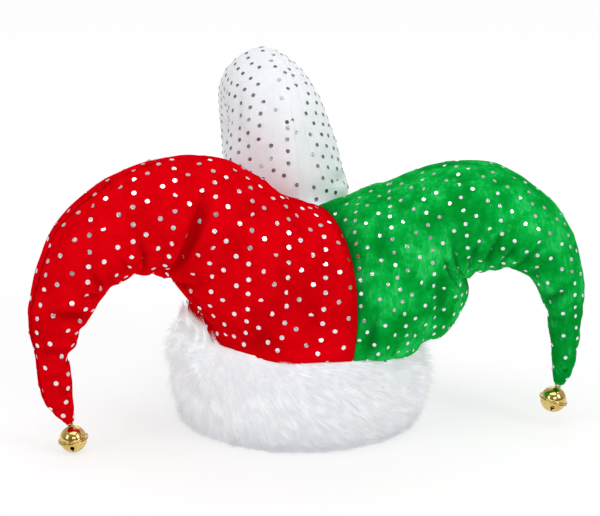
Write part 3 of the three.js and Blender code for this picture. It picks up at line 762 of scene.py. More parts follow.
def foil(name, tone):
    """Thin pressed metal foil, a little crinkled, with a dull spot in its middle."""
    finish = Finish(name, Metallic=1.0)
    spot = finish.place()
    crinkle = finish.clouds(420, spot, detail=3, distortion=0.5)
    worn = finish.clouds(900, spot, detail=2)
    dull = colour(*(c * 0.62 for c in tone[:3]))
    shade = finish.mix(finish.between(worn, 0.45, 0.7), tone, dull)
    shade = finish.mix(finish.between(finish.attribute("middle"), 0.2, 0.9) * 0.8, shade, dull)
    bump = finish.bump(crinkle, 0.0006, 0.5)
    return finish.feed(Base_Color=shade, Roughness=0.16 + worn * 0.18, Normal=bump)


silver_foil = foil("silver_foil", colour(0.86, 0.87, 0.89))
grey_foil = foil("grey_foil", colour(0.3, 0.305, 0.315))

# The red horn: two red panels, turned to the left in front. In each horn's table, seams holds the outer and
# the inner seam in degrees round it, drawn how hard they are drawn in, open whether two of three columns of
# dots are open, the root shade how much shade is painted on at the root beside the seams, and tip_shade how
# much darker the colour is made towards the tip.
# A row of sections: how far out and up the middle of a cut lies, how thick in the horn's own plane and how
# wide across it is, as shares of reach, rise and girth, and the share of the turn that is reached there.
# A row of folds: place along the horn, middle round it and spread in degrees, width and depth in girths.
# A row of creases: from place and turn, to place and turn, width and depth in millimetres.
# A row of sags: place and turn, its reach in both, and how far the cloth hangs down and stands out in
# millimetres.
# The dots: pitch in a column, gap between columns and radius, and place and turn of one dot on each panel.
RED = {
    "azimuth": 236,
    "turn": -28,
    "reach": 0.234,
    "rise": 0.198,
    "girth": 0.064,
    "seed": 1.0,
    "seams": (7, 177),
    "drawn": 1.0,
    "open": True,
    "painted_root_shade": 0.3,
    "tip_shade": 0.1,
    "sags": [(-0.6, 160, 0.4, 35, 5.0, 2.0)],
    "sections": [
        (0.3, 0.8, 1.02, 1.04, 0.35),
        (0.37, 0.915, 0.94, 0.94, 0.62),
        (0.47, 0.98, 0.88, 0.88, 0.82),
        (0.61, 0.99, 0.78, 0.78, 0.93),
        (0.735, 0.96, 0.69, 0.7, 0.97),
        (0.845, 0.88, 0.6, 0.62, 1.0),
        (0.93, 0.76, 0.48, 0.52, 1.0),
        (0.98, 0.61, 0.4, 0.42, 1.0),
        (1.0, 0.49, 0.29, 0.33, 1.0),
        (1.0, 0.38, 0.24, 0.26, 1.0),
        (0.99, 0.27, 0.2, 0.2, 1.0),
        (0.97, 0.196, 0.14, 0.14, 1.0),
        (0.955, 0.153, 0.085, 0.09, 1.0),
    ],
    "folds": [
        (0.1, 232, 45, 0.406, 0.203),
        (2.4, 140, 60, 0.2, 0.055),
        (3.5, 205, 50, 0.141, 0.065),
        (4.4, 150, 55, 0.125, 0.06),
        (5.4, 185, 50, 0.125, 0.045),
        (6.5, 160, 45, 0.125, 0.04),
        (8.2, 190, 50, 0.109, 0.055),
        (9.4, 165, 45, 0.094, 0.047),
    ],
    "creases": [
        (3.42, 60, 4.1, 150, 6.2, 6.5),
        (3.7, 60, 4.35, 135, 6, -1.6),
        (5.02, 84, 5.2, 146, 3.2, 3.8),
        (4.9, 100, 5, 140, 4.2, 1.4),
        (5.73, 94, 5.66, 126, 2.8, 2.4),
        (6.44, 76, 6.7, 120, 3.6, 2.4),
        (7.08, 96, 6.9, 136, 2.8, 2.2),
        (7.82, 56, 7.6, 142, 4.6, 4.2),
        (9.0, 26, 9.0, 130, 3.6, 2.2),
        (8.7, 168, 9.25, 196, 9, -4),
        (10.1, 40, 10, 120, 3, 1.1),
        (1.35, 84, 0.93, 123, 11, 2.8),
        (0.9, 124, -0.3, 172, 9, 3.4),
        (0.6, 72, 0.5, 120, 9, 2.6),
        (0.2, 112, -0.1, 140, 6, 2.2),
        (2.9, 84, 2.5, 118, 12, 1),
        (0.6, 50, 0.3, 86, 7, 2),
        (3.9, 214, 3.4, 290, 6, 3.4),
        (5.3, 216, 5, 288, 4.7, 2.8),
        (6.6, 220, 6.7, 290, 4.2, 2.2),
        (7.8, 222, 8, 300, 4.2, 2.4),
        (0.9, 236, -0.2, 190, 10, 2.6),
        (9.2, 230, 9.1, 300, 3.4, 1.3),
    ],
    "dots": (0.0127, 0.0113, 0.00205),
    "first_dots": ((1.73, 118), (2.0, 258)),
}
red_skin, red_smooth, red_tip, red_aside = horn_cloth(RED)
red_rings = closed_cloth(RED, red_skin, red_tip, red_aside)
red_marks = seam_marks(RED, red_skin, red_rings)
red_horn = bent_grid("red_horn_velvet", red_rings, red_velvet, red_marks)
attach(red_horn, "root")
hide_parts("red_horn")


def panel_dots(name, horn, skin, smooth, seed, finish):
    """The dots of a horn's two panels, one on either side of its outer seam, as one piece."""
    draw = np.random.default_rng(seed)
    pitch, column_gap, radius = horn["dots"]
    spots, outs = [], []
    outer, inner = [int(round(seam / 360 * CLOTH_AROUND)) for seam in horn["seams"]]
    edges = ((outer, inner), (inner, outer + CLOTH_AROUND))
    for side, start in enumerate(horn["first_dots"]):
        columns = np.arange(edges[side][0], edges[side][1] + 1) % CLOTH_AROUND
        place, turn = start
        column = (int(round(turn / 360 * CLOTH_AROUND)) - edges[side][0]) % CLOTH_AROUND
        begin = (int(round((place + 1) * CLOTH_STEP)), column)
        panel = skin[:, columns], smooth[:, columns]
        found, out = dot_spots(*panel, begin, side == 1, pitch, column_gap, horn["open"], draw)
        spots.append(found)
        outs.append(out)
    spots, outs = np.concatenate(spots), np.concatenate(outs)
    dots = foil_dots(name, spots, outs, radius, draw, finish)
    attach(dots, "root")


panel_dots("red_horn_dots", RED, red_skin, red_smooth, 11, silver_foil)


# The green horn: two green panels, turned to the right, with a softer root that hangs over the fur. Its pile
# is more crushed than the others'.
GREEN = {
    "azimuth": 356,
    "turn": -6,
    "reach": 0.238,
    "rise": 0.189,
    "girth": 0.061,
    "seed": 2.0,
    "seams": (-9, 184),
    "drawn": 0.8,
    "open": True,
    "painted_root_shade": 0.85,
    "tip_shade": 0.4,
    "sags": [
        (-0.45, 200, 0.6, 55, 8.0, 2.0),
        (1.2, 204, 0.75, 42, 9.0, 6.0),
        (4.7, 188, 1.0, 30, 3.5, 0.0),
    ],
    "sections": [
        (0.395, 0.79, 1.17, 1.15, 0.3),
        (0.475, 0.895, 1.0, 0.97, 0.6),
        (0.57, 0.975, 0.87, 0.86, 0.8),
        (0.7, 1.0, 0.78, 0.77, 0.95),
        (0.815, 0.955, 0.64, 0.67, 1.0),
        (0.905, 0.87, 0.51, 0.56, 1.0),
        (0.966, 0.735, 0.36, 0.44, 1.0),
        (0.992, 0.61, 0.285, 0.33, 1.0),
        (1.0, 0.48, 0.22, 0.25, 1.0),
        (1.0, 0.36, 0.165, 0.18, 1.0),
        (0.995, 0.28, 0.12, 0.13, 1.0),
        (0.988, 0.229, 0.09, 0.095, 1.0),
    ],
    "folds": [
        (2.35, 184, 75, 0.131, 0.105),
        (3.6, 200, 60, 0.131, 0.035),
        (4.5, 165, 60, 0.131, 0.035),
        (5.5, 195, 50, 0.115, 0.03),
        (6.6, 170, 45, 0.115, 0.03),
        (8.3, 185, 45, 0.098, 0.041),
    ],
    "creases": [
        (2, 214, 2.4, 250, 3, 3.4),
        (2.5, 216, 3.1, 264, 3.8, 3),
        (3.3, 214, 3.9, 258, 4, 2.6),
        (4.2, 212, 4.5, 268, 4, 3.4),
        (4.95, 214, 5.2, 270, 3.8, 2.8),
        (5.8, 210, 5.7, 290, 3.8, 2.6),
        (6.5, 212, 6.3, 262, 4, 1.9),
        (7.65, 216, 7.3, 290, 4.8, 2.8),
        (8.5, 212, 8.4, 280, 3.6, 1.4),
        (10.87, 268, 10.73, 304, 2.4, 1.8),
        (-0.1, 266, -0.4, 240, 6, 3.6),
        (1.95, 246, 1.35, 224, 7, 2.6),
        (0.3, 236, 0.9, 224, 6.3, 1.6),
        (3.35, 336, 3.55, 310, 3.6, 1.5),
        (1.2, 316, 0.4, 286, 9, 2.2),
        (3.2, 96, 3.3, 160, 4.5, 3),
        (4.4, 92, 4.5, 158, 4.1, 2.8),
        (5.4, 96, 5.6, 156, 4, 2.4),
        (6.7, 90, 6.8, 154, 4, 1.8),
        (8.1, 92, 8, 156, 4, 1.5),
        (1.6, 112, 0.6, 146, 10, 2.4),
    ],
    "dots": (0.011, 0.0105, 0.00172),
    "first_dots": ((1.5, 92), (0.87, 272.4)),
}
green_skin, green_smooth, green_tip, green_aside = horn_cloth(GREEN)
green_rings = closed_cloth(GREEN, green_skin, green_tip, green_aside)
green_marks = seam_marks(GREEN, green_skin, green_rings)
green_horn = bent_grid("green_horn_velvet", green_rings, green_velvet, green_marks)
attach(green_horn, "root")
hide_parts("green_horn")
panel_dots("green_horn_dots", GREEN, green_skin, green_smooth, 12, silver_foil)


# The white horn: two white panels, which stand up behind the others and bend over to the back, with darker
# foil and evenly set columns of dots.
WHITE = {
    "azimuth": 116,
    "turn": -9,
    "reach": 0.196,
    "rise": 0.284,
    "girth": 0.060,
    "seed": 3.0,
    "seams": (-16, 180),
    "drawn": 0.3,
    "open": False,
    "painted_root_shade": 0.2,
    "tip_shade": 0.0,
    "sags": [(1.8, 285, 1.3, 55, -1.0, 8.0), (3.6, 292, 1.0, 60, 0.0, 4.0)],
    "sections": [
        (0.39, 0.51, 1.04, 1.1, 0.6),
        (0.335, 0.68, 0.98, 0.99, 1.2),
        (0.33, 0.8, 0.92, 0.88, 1.1),
        (0.365, 0.9, 0.82, 0.79, 1.0),
        (0.445, 0.975, 0.7, 0.71, 0.9),
        (0.56, 1.005, 0.65, 0.65, 0.85),
        (0.69, 0.975, 0.6, 0.59, 0.85),
        (0.8, 0.905, 0.5, 0.51, 0.85),
        (0.89, 0.82, 0.39, 0.41, 0.85),
        (0.955, 0.72, 0.29, 0.31, 0.85),
        (0.99, 0.63, 0.22, 0.23, 0.85),
        (1.0, 0.56, 0.15, 0.155, 0.85),
        (1.0, 0.515, 0.09, 0.095, 0.85),
    ],
    "folds": [
        (2.6, 180, 75, 0.15, 0.1),
        (3.8, 195, 60, 0.15, 0.067),
        (5.6, 170, 60, 0.133, 0.05),
        (7.5, 190, 50, 0.117, 0.067),
        (9.3, 175, 45, 0.1, 0.05),
    ],
    "creases": [
        (4.95, 58, 3.4, 72, 4, 1.2),
        (4.3, 60, 3.3, 64, 4.5, 0.7),
        (2.6, 324, 2.45, 294, 3.4, 2.4),
        (2.2, 300, 1.8, 318, 5.4, 1.2),
        (4.1, 116, 4, 176, 4.5, 2.4),
        (5.2, 110, 5.3, 172, 4, 2),
        (6.4, 116, 6.5, 176, 3.8, 2),
        (7.8, 110, 7.9, 170, 3.6, 1.5),
        (9.2, 112, 9.1, 172, 3.6, 1.3),
        (4, 190, 4.2, 250, 4.5, 2.4),
        (5.3, 190, 5.1, 248, 4, 1.9),
        (6.6, 188, 6.7, 250, 3.8, 1.8),
        (8, 192, 7.8, 246, 3.6, 1.4),
        (1.6, 140, 0.8, 168, 9, 2),
        (1.4, 224, 0.6, 200, 9, 2),
    ],
    "dots": (0.0122, 0.0104, 0.0019),
    "first_dots": ((3.67, 12), (3.6, 262)),
}
white_skin, white_smooth, white_tip, white_aside = horn_cloth(WHITE)
white_rings = closed_cloth(WHITE, white_skin, white_tip, white_aside)
white_marks = seam_marks(WHITE, white_skin, white_rings)
white_horn = bent_grid("white_horn_velvet", white_rings, white_velvet, white_marks)
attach(white_horn, "root")
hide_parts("white_horn")
panel_dots("white_horn_dots", WHITE, white_skin, white_smooth, 13, grey_foil)


# The cuff: a band of deep white plush fur round the head opening, with a flat foot and a cloth inside. Its
# pile is combed off to both sides of a parting and hangs over the foot in locks.
CUFF_FOOT_WIDTH = 0.008
CUFF_TOP_WIDTH = 0.013
CUFF_SWELL = 0.015
CUFF_ROUND = (0.14, 0.86)
FUR_PILE = 0.011
FLYAWAY = 0.009
FOOT_SPLAY = 0.12
BAND_AROUND = 360
BAND_SIDE_ROWS = 30
BAND_LOFT = 0.0045
# How far towards the strands' white tips the band under the fur is painted; the rest is painted shade.
BAND_PAINTED_SHADE = 0.45
STRANDS = 60000
STRAND_PIECES = 4
STRAND_LENGTH = 0.03
STRAND_WIDTH = 0.00016
STRAND_RINGS = 3
FLOOR_CLEARANCE = 0.0006
LOCK_PULL = 0.38
STRAY_SHARE = 0.35
TUFT_SHARE = 0.12
TUFT_FOOT = 0.78
TUFT_AZIMUTHS = (172, 222)
CLUMP = 0.0062

# How the fur is combed round the cuff: an azimuth, how far sideways and down a strand runs there, and how far
# the topmost ones stand up over the velvet.
COMBING = (
    (0, 0.88, 0.42, 0.1),
    (40, 0.6, 0.8, 0.2),
    (90, 0.35, 0.95, 0.2),
    (140, 0.15, 1.0, 0.15),
    (168, -0.1, 0.9, 0.1),
    (188, -0.3, 0.8, 0.3),
    (204, -0.35, 0.7, 1.1),
    (222, -0.3, 0.75, 1.0),
    (230, 0.0, 0.85, 0.4),
    (238, 0.3, 0.9, 0.15),
    (248, 0.65, 0.8, 0.12),
    (268, 0.85, 0.5, 0.1),
    (300, 0.9, 0.45, 0.0),
    (335, 0.95, 0.35, 0.0),
)


def cuff_skin(share):
    rounded = np.sin(math.pi * (CUFF_ROUND[0] + (CUFF_ROUND[1] - CUFF_ROUND[0]) * share))
    return HEAD_RADIUS + CUFF_FOOT_WIDTH + (CUFF_SWELL - CUFF_FOOT_WIDTH) * rounded


def cuff_top(radius, azimuth):
    return CUFF_HEIGHT - math.tan(LEAN) * radius * np.cos(azimuth - LEAN_AZIMUTH)


def cuff_point(radius, azimuth, share):
    return polar(radius, azimuth, share * cuff_top(radius, azimuth))


def combed(azimuth):
    """Sideways, downward and standing parts of the fur's direction."""
    table = np.array(COMBING)
    table = np.concatenate([table, table[:1] + [360, 0, 0, 0]])
    degrees = np.degrees(azimuth) % 360
    return [np.interp(degrees, table[:, 0], table[:, part]) for part in (1, 2, 3)]


# The fur glows faintly all over, a painted light for the light scattered through the white strands.
fur_finish = Finish("white_fur", Specular_IOR_Level=0.15, Emission_Strength=0.22)
fur_painted_root_shade = fur_finish.attribute("depth")
fur_tone = fur_finish.attribute("tone")
fur_clouds = fur_finish.clouds(45, fur_finish.place(), detail=3)
# Painted shade among the strands: grey-blue at the roots, white at the tips, the band under them part way.
fur_shade = fur_finish.mix(fur_painted_root_shade, colour(0.68, 0.695, 0.735), colour(0.99, 0.992, 1.0))
fur_parts = fur_finish.node("ShaderNodeSeparateXYZ", {}, {0: fur_finish.place()})
fur_height = fur_finish.out(fur_parts, 2)
# Painted light: under the red horn on the left the fur glows brighter and cooler, against the horn's shade.
fur_left = fur_finish.between(fur_finish.out(fur_parts, 0) * -1.0, 0.06, 0.1)
fur_front = fur_finish.between(fur_finish.out(fur_parts, 1) * -1.0, -0.03, 0.015)
fur_painted_light_under_horn = fur_finish.between(fur_height, 0.05, 0.085) * fur_left * fur_front
# Painted shade: the fur is greyer near the floor, on its shaded underside.
fur_painted_low_shade = (1 - fur_finish.between(fur_height, 0.0, 0.035)) * 0.3
fur_shade = fur_finish.mix(fur_painted_low_shade, fur_shade, colour(0.64, 0.65, 0.68))
fur_shade = fur_finish.mix(fur_tone * 0.42 + fur_clouds * 0.08, fur_shade, colour(0.7, 0.715, 0.755))
fur_painted_glow = fur_finish.mix(fur_painted_light_under_horn, fur_shade, colour(1.26, 1.4, 1.4))
fur_finish.feed(Base_Color=fur_shade, Roughness=0.6 + fur_clouds * 0.2, Emission_Color=fur_painted_glow)

band_turn = np.arange(BAND_AROUND) / BAND_AROUND * 2 * math.pi
band_side = np.linspace(1, 0, BAND_SIDE_ROWS)
band_rings = [cuff_point(HEAD_RADIUS, band_turn, s) for s in np.linspace(0, 1, 12)]
band_rings += [cuff_point(HEAD_RADIUS + CUFF_TOP_WIDTH * s, band_turn, 1.0) for s in (0.33, 0.67)]
for share in band_side:
    comb_side = combed(band_turn)[0] * (1 - share) * 0.5
    lock = np.sin(band_turn * 74 - comb_side * 40 + 3 * np.sin(share * 21))
    lock = lock * np.sin(share * 19 + band_turn * 3)
    loft = BAND_LOFT * (1 + 0.3 * lock) * math.sin(math.pi * min(max(share, 0.02), 0.98)) ** 0.4
    band_rings.append(cuff_point(cuff_skin(share) + loft, band_turn, share))
band_rings.append(cuff_point(HEAD_RADIUS + CUFF_FOOT_WIDTH * 0.5, band_turn, 0.0))
band_rings.append(band_rings[0])
cuff_band = bent_grid("fur_cuff_band", np.array(band_rings), fur_finish.material)
band_painted_shade = cuff_band.data.attributes.new("depth", "FLOAT", "POINT")
band_painted_shade.data.foreach_set("value", np.full(len(cuff_band.data.vertices), BAND_PAINTED_SHADE))
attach(cuff_band, "root")
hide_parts("fur_cuff")


def scattered(key, phase):
    """A number from -0.5 to 0.5 for each lock, always the same one."""
    return np.modf(np.abs(np.sin(key + phase) * 43758.5453))[0] - 0.5


def strand_paths(draw, count):
    """Points along each strand, from the root to the tip, drawn together into locks."""
    azimuth = draw.uniform(0, 2 * math.pi, count)
    share = draw.uniform(0.02, 0.995, count)
    tuft = draw.random(count) < TUFT_SHARE
    azimuth = np.where(tuft, np.radians(draw.uniform(*TUFT_AZIMUTHS, count)), azimuth)
    share = np.where(tuft, draw.uniform(TUFT_FOOT, 1.0, count), share)
    girth = HEAD_RADIUS * 2 * math.pi
    cell_round = azimuth / (2 * math.pi) * girth / CLUMP
    cell_up = share * CUFF_HEIGHT / CLUMP
    shift = 0.5 * (np.floor(cell_up) % 2)
    clump_round = (np.floor(cell_round + shift) + 0.5 - shift) / girth * CLUMP * 2 * math.pi
    clump_up = (np.floor(cell_up) + 0.5) * CLUMP / CUFF_HEIGHT
    key = np.floor(cell_round + shift) * 31.7 + np.floor(cell_up) * 57.3
    clump_round = clump_round + scattered(key, 1.1) * 0.9 * CLUMP / HEAD_RADIUS
    clump_up = clump_up + scattered(key, 2.3) * 0.9 * CLUMP / CUFF_HEIGHT
    sway = scattered(key, 3.7) * 0.5
    length = STRAND_LENGTH * (1 + 0.3 * scattered(key, 5.9)) * (1 + draw.uniform(-0.18, 0.18, count))
    loft = FUR_PILE * (1 + 0.5 * scattered(key, 7.7)) * (0.78 + draw.uniform(-0.5, 0.5, count))
    stray = np.where(draw.random(count) < STRAY_SHARE, draw.uniform(0.2, 1.0, count) ** 2, 0.0)
    own = strand_line(azimuth, share, sway, length, loft, stray)
    lock = strand_line(clump_round, np.clip(clump_up, 0.0, 1.0), sway, length, loft, stray)
    pull = (np.linspace(0, 1, STRAND_RINGS) ** 1.3 * LOCK_PULL)[:, None, None]
    path = own * (1 - pull) + lock * pull
    path[..., 2] = np.maximum(path[..., 2], FLOOR_CLEARANCE + draw.uniform(0, 0.004, count))
    tone = np.clip(scattered(key, 9.1) * 1.3 + 0.5 + draw.uniform(-0.4, 0.4, count), 0, 1)
    return path, tone


def strand_line(azimuth, share, sway, length, loft, stray):
    side, down, stand = combed(azimuth)
    topmost = np.clip((share - 0.62) / 0.38, 0, 1)
    stand = stand * topmost**1.5
    side = (side + sway * 0.8) * (1 - np.minimum(stand, 1) * 0.6)
    along = np.linspace(0, 1, STRAND_RINGS)[:, None]
    radius = cuff_skin(share) - 0.001
    top = cuff_top(radius, azimuth)
    run = along * length
    drop = down * (1 - topmost * 0.8) - stand * 0.85
    height = share * top - run * drop - along**2 * 0.004 * (1 - topmost)
    share_now = np.clip(height / top, 0, 1)
    low = np.minimum(share_now / 0.4, 1)
    high = 1 - 0.7 * np.clip((share_now - 0.7) / 0.3, 0, 1) ** 1.5
    lift = loft * (1 - (1 - along) ** 2.2) * (0.4 + 0.6 * low) * high + run * stand * 0.16
    lift = lift + FLYAWAY * stray * along**2 * (0.8 + 0.2 * low) * np.minimum(high + 0.1, 1)
    radius_now = cuff_skin(share_now) + lift + np.maximum(-height, 0) * FOOT_SPLAY - 0.001
    turned = azimuth + run * side / radius_now
    return polar(radius_now, turned, height)


def fur_strands(name, path, tone):
    """One mesh of thin tapered strands with three sides each, closed at the root and at the tip."""
    rings, count = path.shape[:2]
    along = unit(np.gradient(path, axis=0))
    right = unit(np.cross(along, [0.0, 0.0, 1.0]))
    ahead = np.cross(along, right)
    taper = np.array([1.0, 0.9, 0.0])[:, None, None]
    width = STRAND_WIDTH * taper * (1.75 - 1.2 * tone)[None, :, None]
    corners = []
    for turn in (0.0, 2 * math.pi / 3, 4 * math.pi / 3):
        corners.append(path + (right * math.cos(turn) + ahead * math.sin(turn)) * width)
    body = np.stack(corners, axis=2)[:-1]
    verts = np.concatenate([body.transpose(1, 0, 2, 3).reshape(count, -1, 3), path[-1][:, None]], axis=1)
    per = verts.shape[1]
    tip = per - 1
    faces = [(2, 1, 0)]
    for k in range(rings - 2):
        for i in range(3):
            j = (i + 1) % 3
            a, b, c, d = 3 * k + i, 3 * k + j, 3 * k + 3 + j, 3 * k + 3 + i
            faces += [(a, b, c), (a, c, d)]
    for i in range(3):
        faces.append((3 * (rings - 2) + i, 3 * (rings - 2) + (i + 1) % 3, tip))
    faces = np.array(faces)
    all_faces = (faces[None] + (np.arange(count) * per)[:, None, None]).reshape(-1)
    mesh = bpy.data.meshes.new(name)
    mesh.vertices.add(count * per)
    mesh.vertices.foreach_set("co", verts.reshape(-1).astype(np.float32))
    mesh.loops.add(len(all_faces))
    mesh.loops.foreach_set("vertex_index", all_faces.astype(np.int32))
    mesh.polygons.add(len(all_faces) // 3)
    mesh.polygons.foreach_set("loop_start", np.arange(0, len(all_faces), 3, dtype=np.int32))
    mesh.update(calc_edges=True)
    mesh.shade_smooth()
    # How far along the strand each point lies, for the painted shade at the roots.
    depth = np.repeat([0.0, 0.8, 1.0], [3, 3, 1])
    mesh.attributes.new("depth", "FLOAT", "POINT").data.foreach_set("value", np.tile(depth, count))
    mesh.attributes.new("tone", "FLOAT", "POINT").data.foreach_set("value", np.repeat(tone, per))
    made = in_scene(name, mesh, fur_finish.material)
    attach(made, "root")


fur_draw = np.random.default_rng(21)
for piece in range(STRAND_PIECES):
    strand_path, strand_tone = strand_paths(fur_draw, STRANDS // STRAND_PIECES)
    fur_strands(f"fur_cuff_strands_{piece + 1}", strand_path, strand_tone)


# The bells: two pressed brass cups crimped together round their middle, with a steel pellet inside, two
# crossed slots with round ends below and a wire loop on top, which is sewn to the tip of the horn with a few
# turns of thread.
BELL_RADIUS = 0.0116
BELL_WALL = 0.0009
BELL_RIM_REACH = 0.0013
BELL_RIM_DEPTH = 0.0011
BELL_SLOT_WIDTH = 0.0016
BELL_HOLE_RADIUS = 0.0019
BELL_HOLE_LATITUDE = math.radians(-24)
PELLET_RADIUS = 0.0028
PELLET_LATITUDE = math.radians(-55)
SHANK_SUNK = 0.0007
SHANK_RADIUS = 0.0021
SHANK_WIRE = 0.00065
SHANK_RISE = 0.0014
BELL_STEPS = 56
THREAD_RADIUS = 0.00042
THREAD_TURNS = ((0.75, 0.0025), (1.05, 0.0028), (1.4, 0.0024))

brass = Finish("gold_brass", Metallic=1.0)
brass_spot = brass.place()
brass_swirl = brass.clouds(160, brass_spot, detail=4, distortion=0.6)
brass_specks = brass.clouds(1100, brass_spot, detail=2)
brass_share = brass.between(brass_swirl, 0.35, 0.7)
brass_shade = brass.mix(brass_share, colour(0.76, 0.57, 0.21), colour(0.62, 0.42, 0.11))
# Painted shade: the bell's inner faces are made nearly black, as if no light reached them.
brass_shade = brass.mix(brass.attribute("inside") * 0.9, brass_shade, colour(0.08, 0.05, 0.02))
brass.feed(
    Base_Color=brass_shade,
    Roughness=0.1 + brass.between(brass_specks, 0.5, 0.75) * 0.14,
    Normal=brass.bump(brass_swirl * 0.7 + brass_specks * 0.3, 0.0004, 0.25),
)
steel = Finish("pellet_steel", Metallic=1.0)
steel_grain = steel.clouds(700, steel.place(), detail=3)
steel_shade = steel.mix(steel_grain, colour(0.42, 0.42, 0.44), colour(0.6, 0.6, 0.62))
steel.feed(Base_Color=steel_shade, Roughness=0.25 + steel_grain * 0.2)


def bell_frame(tip, turn, tilt):
    drop = BELL_RADIUS + SHANK_RISE + SHANK_RADIUS - SHANK_SUNK
    place = Matrix.Translation(Vector(tip)) @ Matrix.Rotation(math.radians(tilt), 4, "Y")
    return place @ Matrix.Translation((0, 0, -drop)) @ Matrix.Rotation(math.radians(turn), 4, "Z")


def half_profile(up):
    """The cut through one pressed half: along the outside from the pole, round the rim and back inside."""
    lift = GAP / 2
    outer_from = math.asin((lift + BELL_RIM_DEPTH) / BELL_RADIUS)
    inner = BELL_RADIUS - BELL_WALL
    inner_from = math.asin((lift + BELL_RIM_DEPTH * 0.4) / inner)
    cut = []
    for k in range(17):
        slope = math.pi / 2 - (math.pi / 2 - outer_from) * k / 16
        cut.append((BELL_RADIUS * math.cos(slope), BELL_RADIUS * math.sin(slope)))
    reach = BELL_RADIUS + BELL_RIM_REACH
    roll = BELL_RIM_DEPTH / 2
    for k in range(9):
        slope = math.pi / 2 - math.pi * k / 8
        cut.append((reach - roll + roll * math.cos(slope), lift + roll + roll * math.sin(slope)))
    cut.append((inner, lift))
    for k in range(13):
        slope = inner_from + (math.pi / 2 - inner_from) * k / 12
        cut.append((inner * math.cos(slope), inner * math.sin(slope)))
    cut[0] = (0, cut[0][1])
    cut[-1] = (0, cut[-1][1])
    return [Vector((x, 0, z if up else -z)) for x, z in cut]


def spun(profile, steps):
    shell = bmesh.new()
    verts = [shell.verts.new(spot) for spot in profile]
    edges = [shell.edges.new(pair) for pair in zip(verts[:-1], verts[1:])]
    bmesh.ops.spin(
        shell,
        geom=verts + edges,
        cent=(0, 0, 0),
        axis=(0, 0, 1),
        angle=2 * math.pi,
        steps=steps,
        use_merge=True,
    )
    bmesh.ops.remove_doubles(shell, verts=shell.verts, dist=1e-6)
    bmesh.ops.recalc_face_normals(shell, faces=shell.faces)
    return shell


def wire_ring(radius, wire, matrix, steps=28, sides=10):
    ring = bmesh.new()
    cut = Matrix.Translation((radius, 0, 0)) @ Matrix.Rotation(math.pi / 2, 4, "X")
    made = bmesh.ops.create_circle(ring, segments=sides, radius=wire, matrix=cut)
    edges = list({edge for vert in made["verts"] for edge in vert.link_edges})
    bmesh.ops.spin(
        ring,
        geom=made["verts"] + edges,
        cent=(0, 0, 0),
        axis=(0, 0, 1),
        angle=2 * math.pi,
        steps=steps,
        use_merge=True,
    )
    bmesh.ops.remove_doubles(ring, verts=ring.verts, dist=1e-6)
    bmesh.ops.recalc_face_normals(ring, faces=ring.faces)
    bmesh.ops.transform(ring, matrix=matrix, verts=ring.verts)
    return ring


def mesh_of(name, parts, smooth=True):
    mesh = bpy.data.meshes.new(name)
    whole = bmesh.new()
    for part in parts:
        part.to_mesh(mesh)
        whole.from_mesh(mesh)
        part.free()
    for face in whole.faces:
        face.smooth = smooth
    whole.to_mesh(mesh)
    whole.free()
    return mesh


def slot_cutters():
    """Two crossed slots, each with a round end on both sides."""
    top = BELL_RADIUS * math.sin(BELL_HOLE_LATITUDE)
    parts = []
    for turn in (0, math.pi / 2):
        spin = Matrix.Rotation(turn, 4, "Z")
        slot = bmesh.new()
        size = Matrix.Diagonal((BELL_RADIUS * 3, BELL_SLOT_WIDTH, BELL_RADIUS * 2 + top, 1))
        middle = Matrix.Translation((0, 0, (top - BELL_RADIUS * 2) / 2))
        bmesh.ops.create_cube(slot, size=1, matrix=spin @ middle @ size)
        hole = bmesh.new()
        lying = Matrix.Translation((0, 0, top)) @ Matrix.Rotation(math.pi / 2, 4, "Y")
        bmesh.ops.create_cone(
            hole,
            cap_ends=True,
            segments=20,
            radius1=BELL_HOLE_RADIUS,
            radius2=BELL_HOLE_RADIUS,
            depth=BELL_RADIUS * 3,
            matrix=spin @ lying,
        )
        parts += [slot, hole]
    return parts


def cut_away(made, cutters):
    """Cuts each closed shape out of a piece and keeps the result as its mesh."""
    for number, part in enumerate(cutters):
        tool = in_scene(f"cutter_{number}", mesh_of(f"cutter_{number}", [part], smooth=False))
        cut = made.modifiers.new("cut", "BOOLEAN")
        cut.operation = "DIFFERENCE"
        cut.solver = "EXACT"
        cut.object = tool
        now = made.evaluated_get(bpy.context.evaluated_depsgraph_get())
        shaped = bpy.data.meshes.new_from_object(now)
        made.modifiers.clear()
        made.data = shaped
        bpy.data.objects.remove(tool)


def paint_inner_shade(made):
    """Marks how far inside the wall each point of a half lies, for the painted shade on its inner face."""
    skin = made.data
    spots = np.empty(len(skin.vertices) * 3)
    skin.vertices.foreach_get("co", spots)
    depth = BELL_RADIUS - np.linalg.norm(spots.reshape(-1, 3), axis=1)
    inside = skin.attributes.new("inside", "FLOAT", "POINT")
    inside.data.foreach_set("value", np.clip(depth / BELL_WALL, 0, 1))


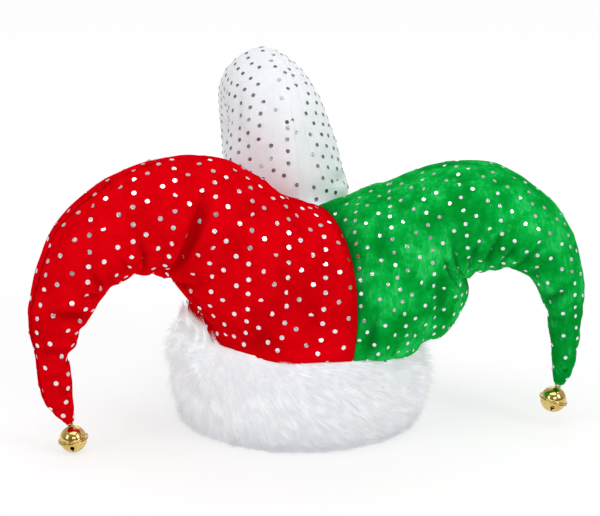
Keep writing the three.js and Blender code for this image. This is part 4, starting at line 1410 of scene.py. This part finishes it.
def hang_bell(name, tip, turn, tilt, thread_finish):
    place = bell_frame(tip, turn, tilt)
    upright = Matrix.Translation((0, 0, BELL_RADIUS + SHANK_RISE)) @ Matrix.Rotation(math.pi / 2, 4, "X")
    loop = wire_ring(SHANK_RADIUS, SHANK_WIRE, upright)
    upper = mesh_of(f"{name}_cap_brass", [spun(half_profile(True), BELL_STEPS), loop])
    lower = mesh_of(f"{name}_cup_brass", [spun(half_profile(False), BELL_STEPS)])
    cap = in_scene(f"{name}_cap_brass", upper, brass.material)
    cup = in_scene(f"{name}_cup_brass", lower, brass.material)
    cut_away(cup, slot_cutters())
    paint_inner_shade(cap)
    paint_inner_shade(cup)
    seat = BELL_RADIUS - BELL_WALL - GAP - PELLET_RADIUS
    low = polar(seat * math.cos(PELLET_LATITUDE), math.pi / 4, seat * math.sin(PELLET_LATITUDE))
    ball = bmesh.new()
    resting = Matrix.Translation(Vector(low))
    bmesh.ops.create_icosphere(ball, subdivisions=3, radius=PELLET_RADIUS, matrix=resting)
    pellet = in_scene(f"{name}_pellet_steel", mesh_of(f"{name}_pellet_steel", [ball]), steel.material)
    turns = []
    for lean, size in THREAD_TURNS:
        at = Matrix.Translation((-0.0008 * lean, 0, BELL_RADIUS + SHANK_RISE + SHANK_RADIUS - 0.0002))
        stand = at @ Matrix.Rotation(lean, 4, "Z") @ Matrix.Rotation(math.pi / 2, 4, "Y")
        turns.append(wire_ring(size, THREAD_RADIUS, stand, steps=20, sides=6))
    thread = in_scene(f"{name}_thread", mesh_of(f"{name}_thread", turns), thread_finish)
    for made in (cap, cup, pellet, thread):
        made.data.transform(place)
        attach(made, "root")
    for made, node in ((cap, "cap"), (cup, "cup"), (pellet, "pellet")):
        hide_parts(f"{name}_{node}")


def thread_of(name, tone):
    finish = Finish(name, Specular_IOR_Level=0.3)
    fibres = finish.clouds(2400, finish.place(), detail=2)
    shade = finish.mix(fibres * 0.5, tone, colour(*(c * 0.45 for c in tone[:3])))
    bump = finish.bump(fibres, 0.0003, 0.6)
    return finish.feed(Base_Color=shade, Roughness=0.6 + fibres * 0.3, Normal=bump)


hang_bell("red_bell", red_tip, -1, -9, thread_of("red_thread", colour(0.55, 0.01, 0.015)))
hang_bell("green_bell", green_tip, -6, 17, thread_of("pale_thread", colour(0.72, 0.74, 0.7)))
hang_bell("white_bell", white_tip, 40, 0, thread_of("white_thread", colour(0.85, 0.86, 0.88)))
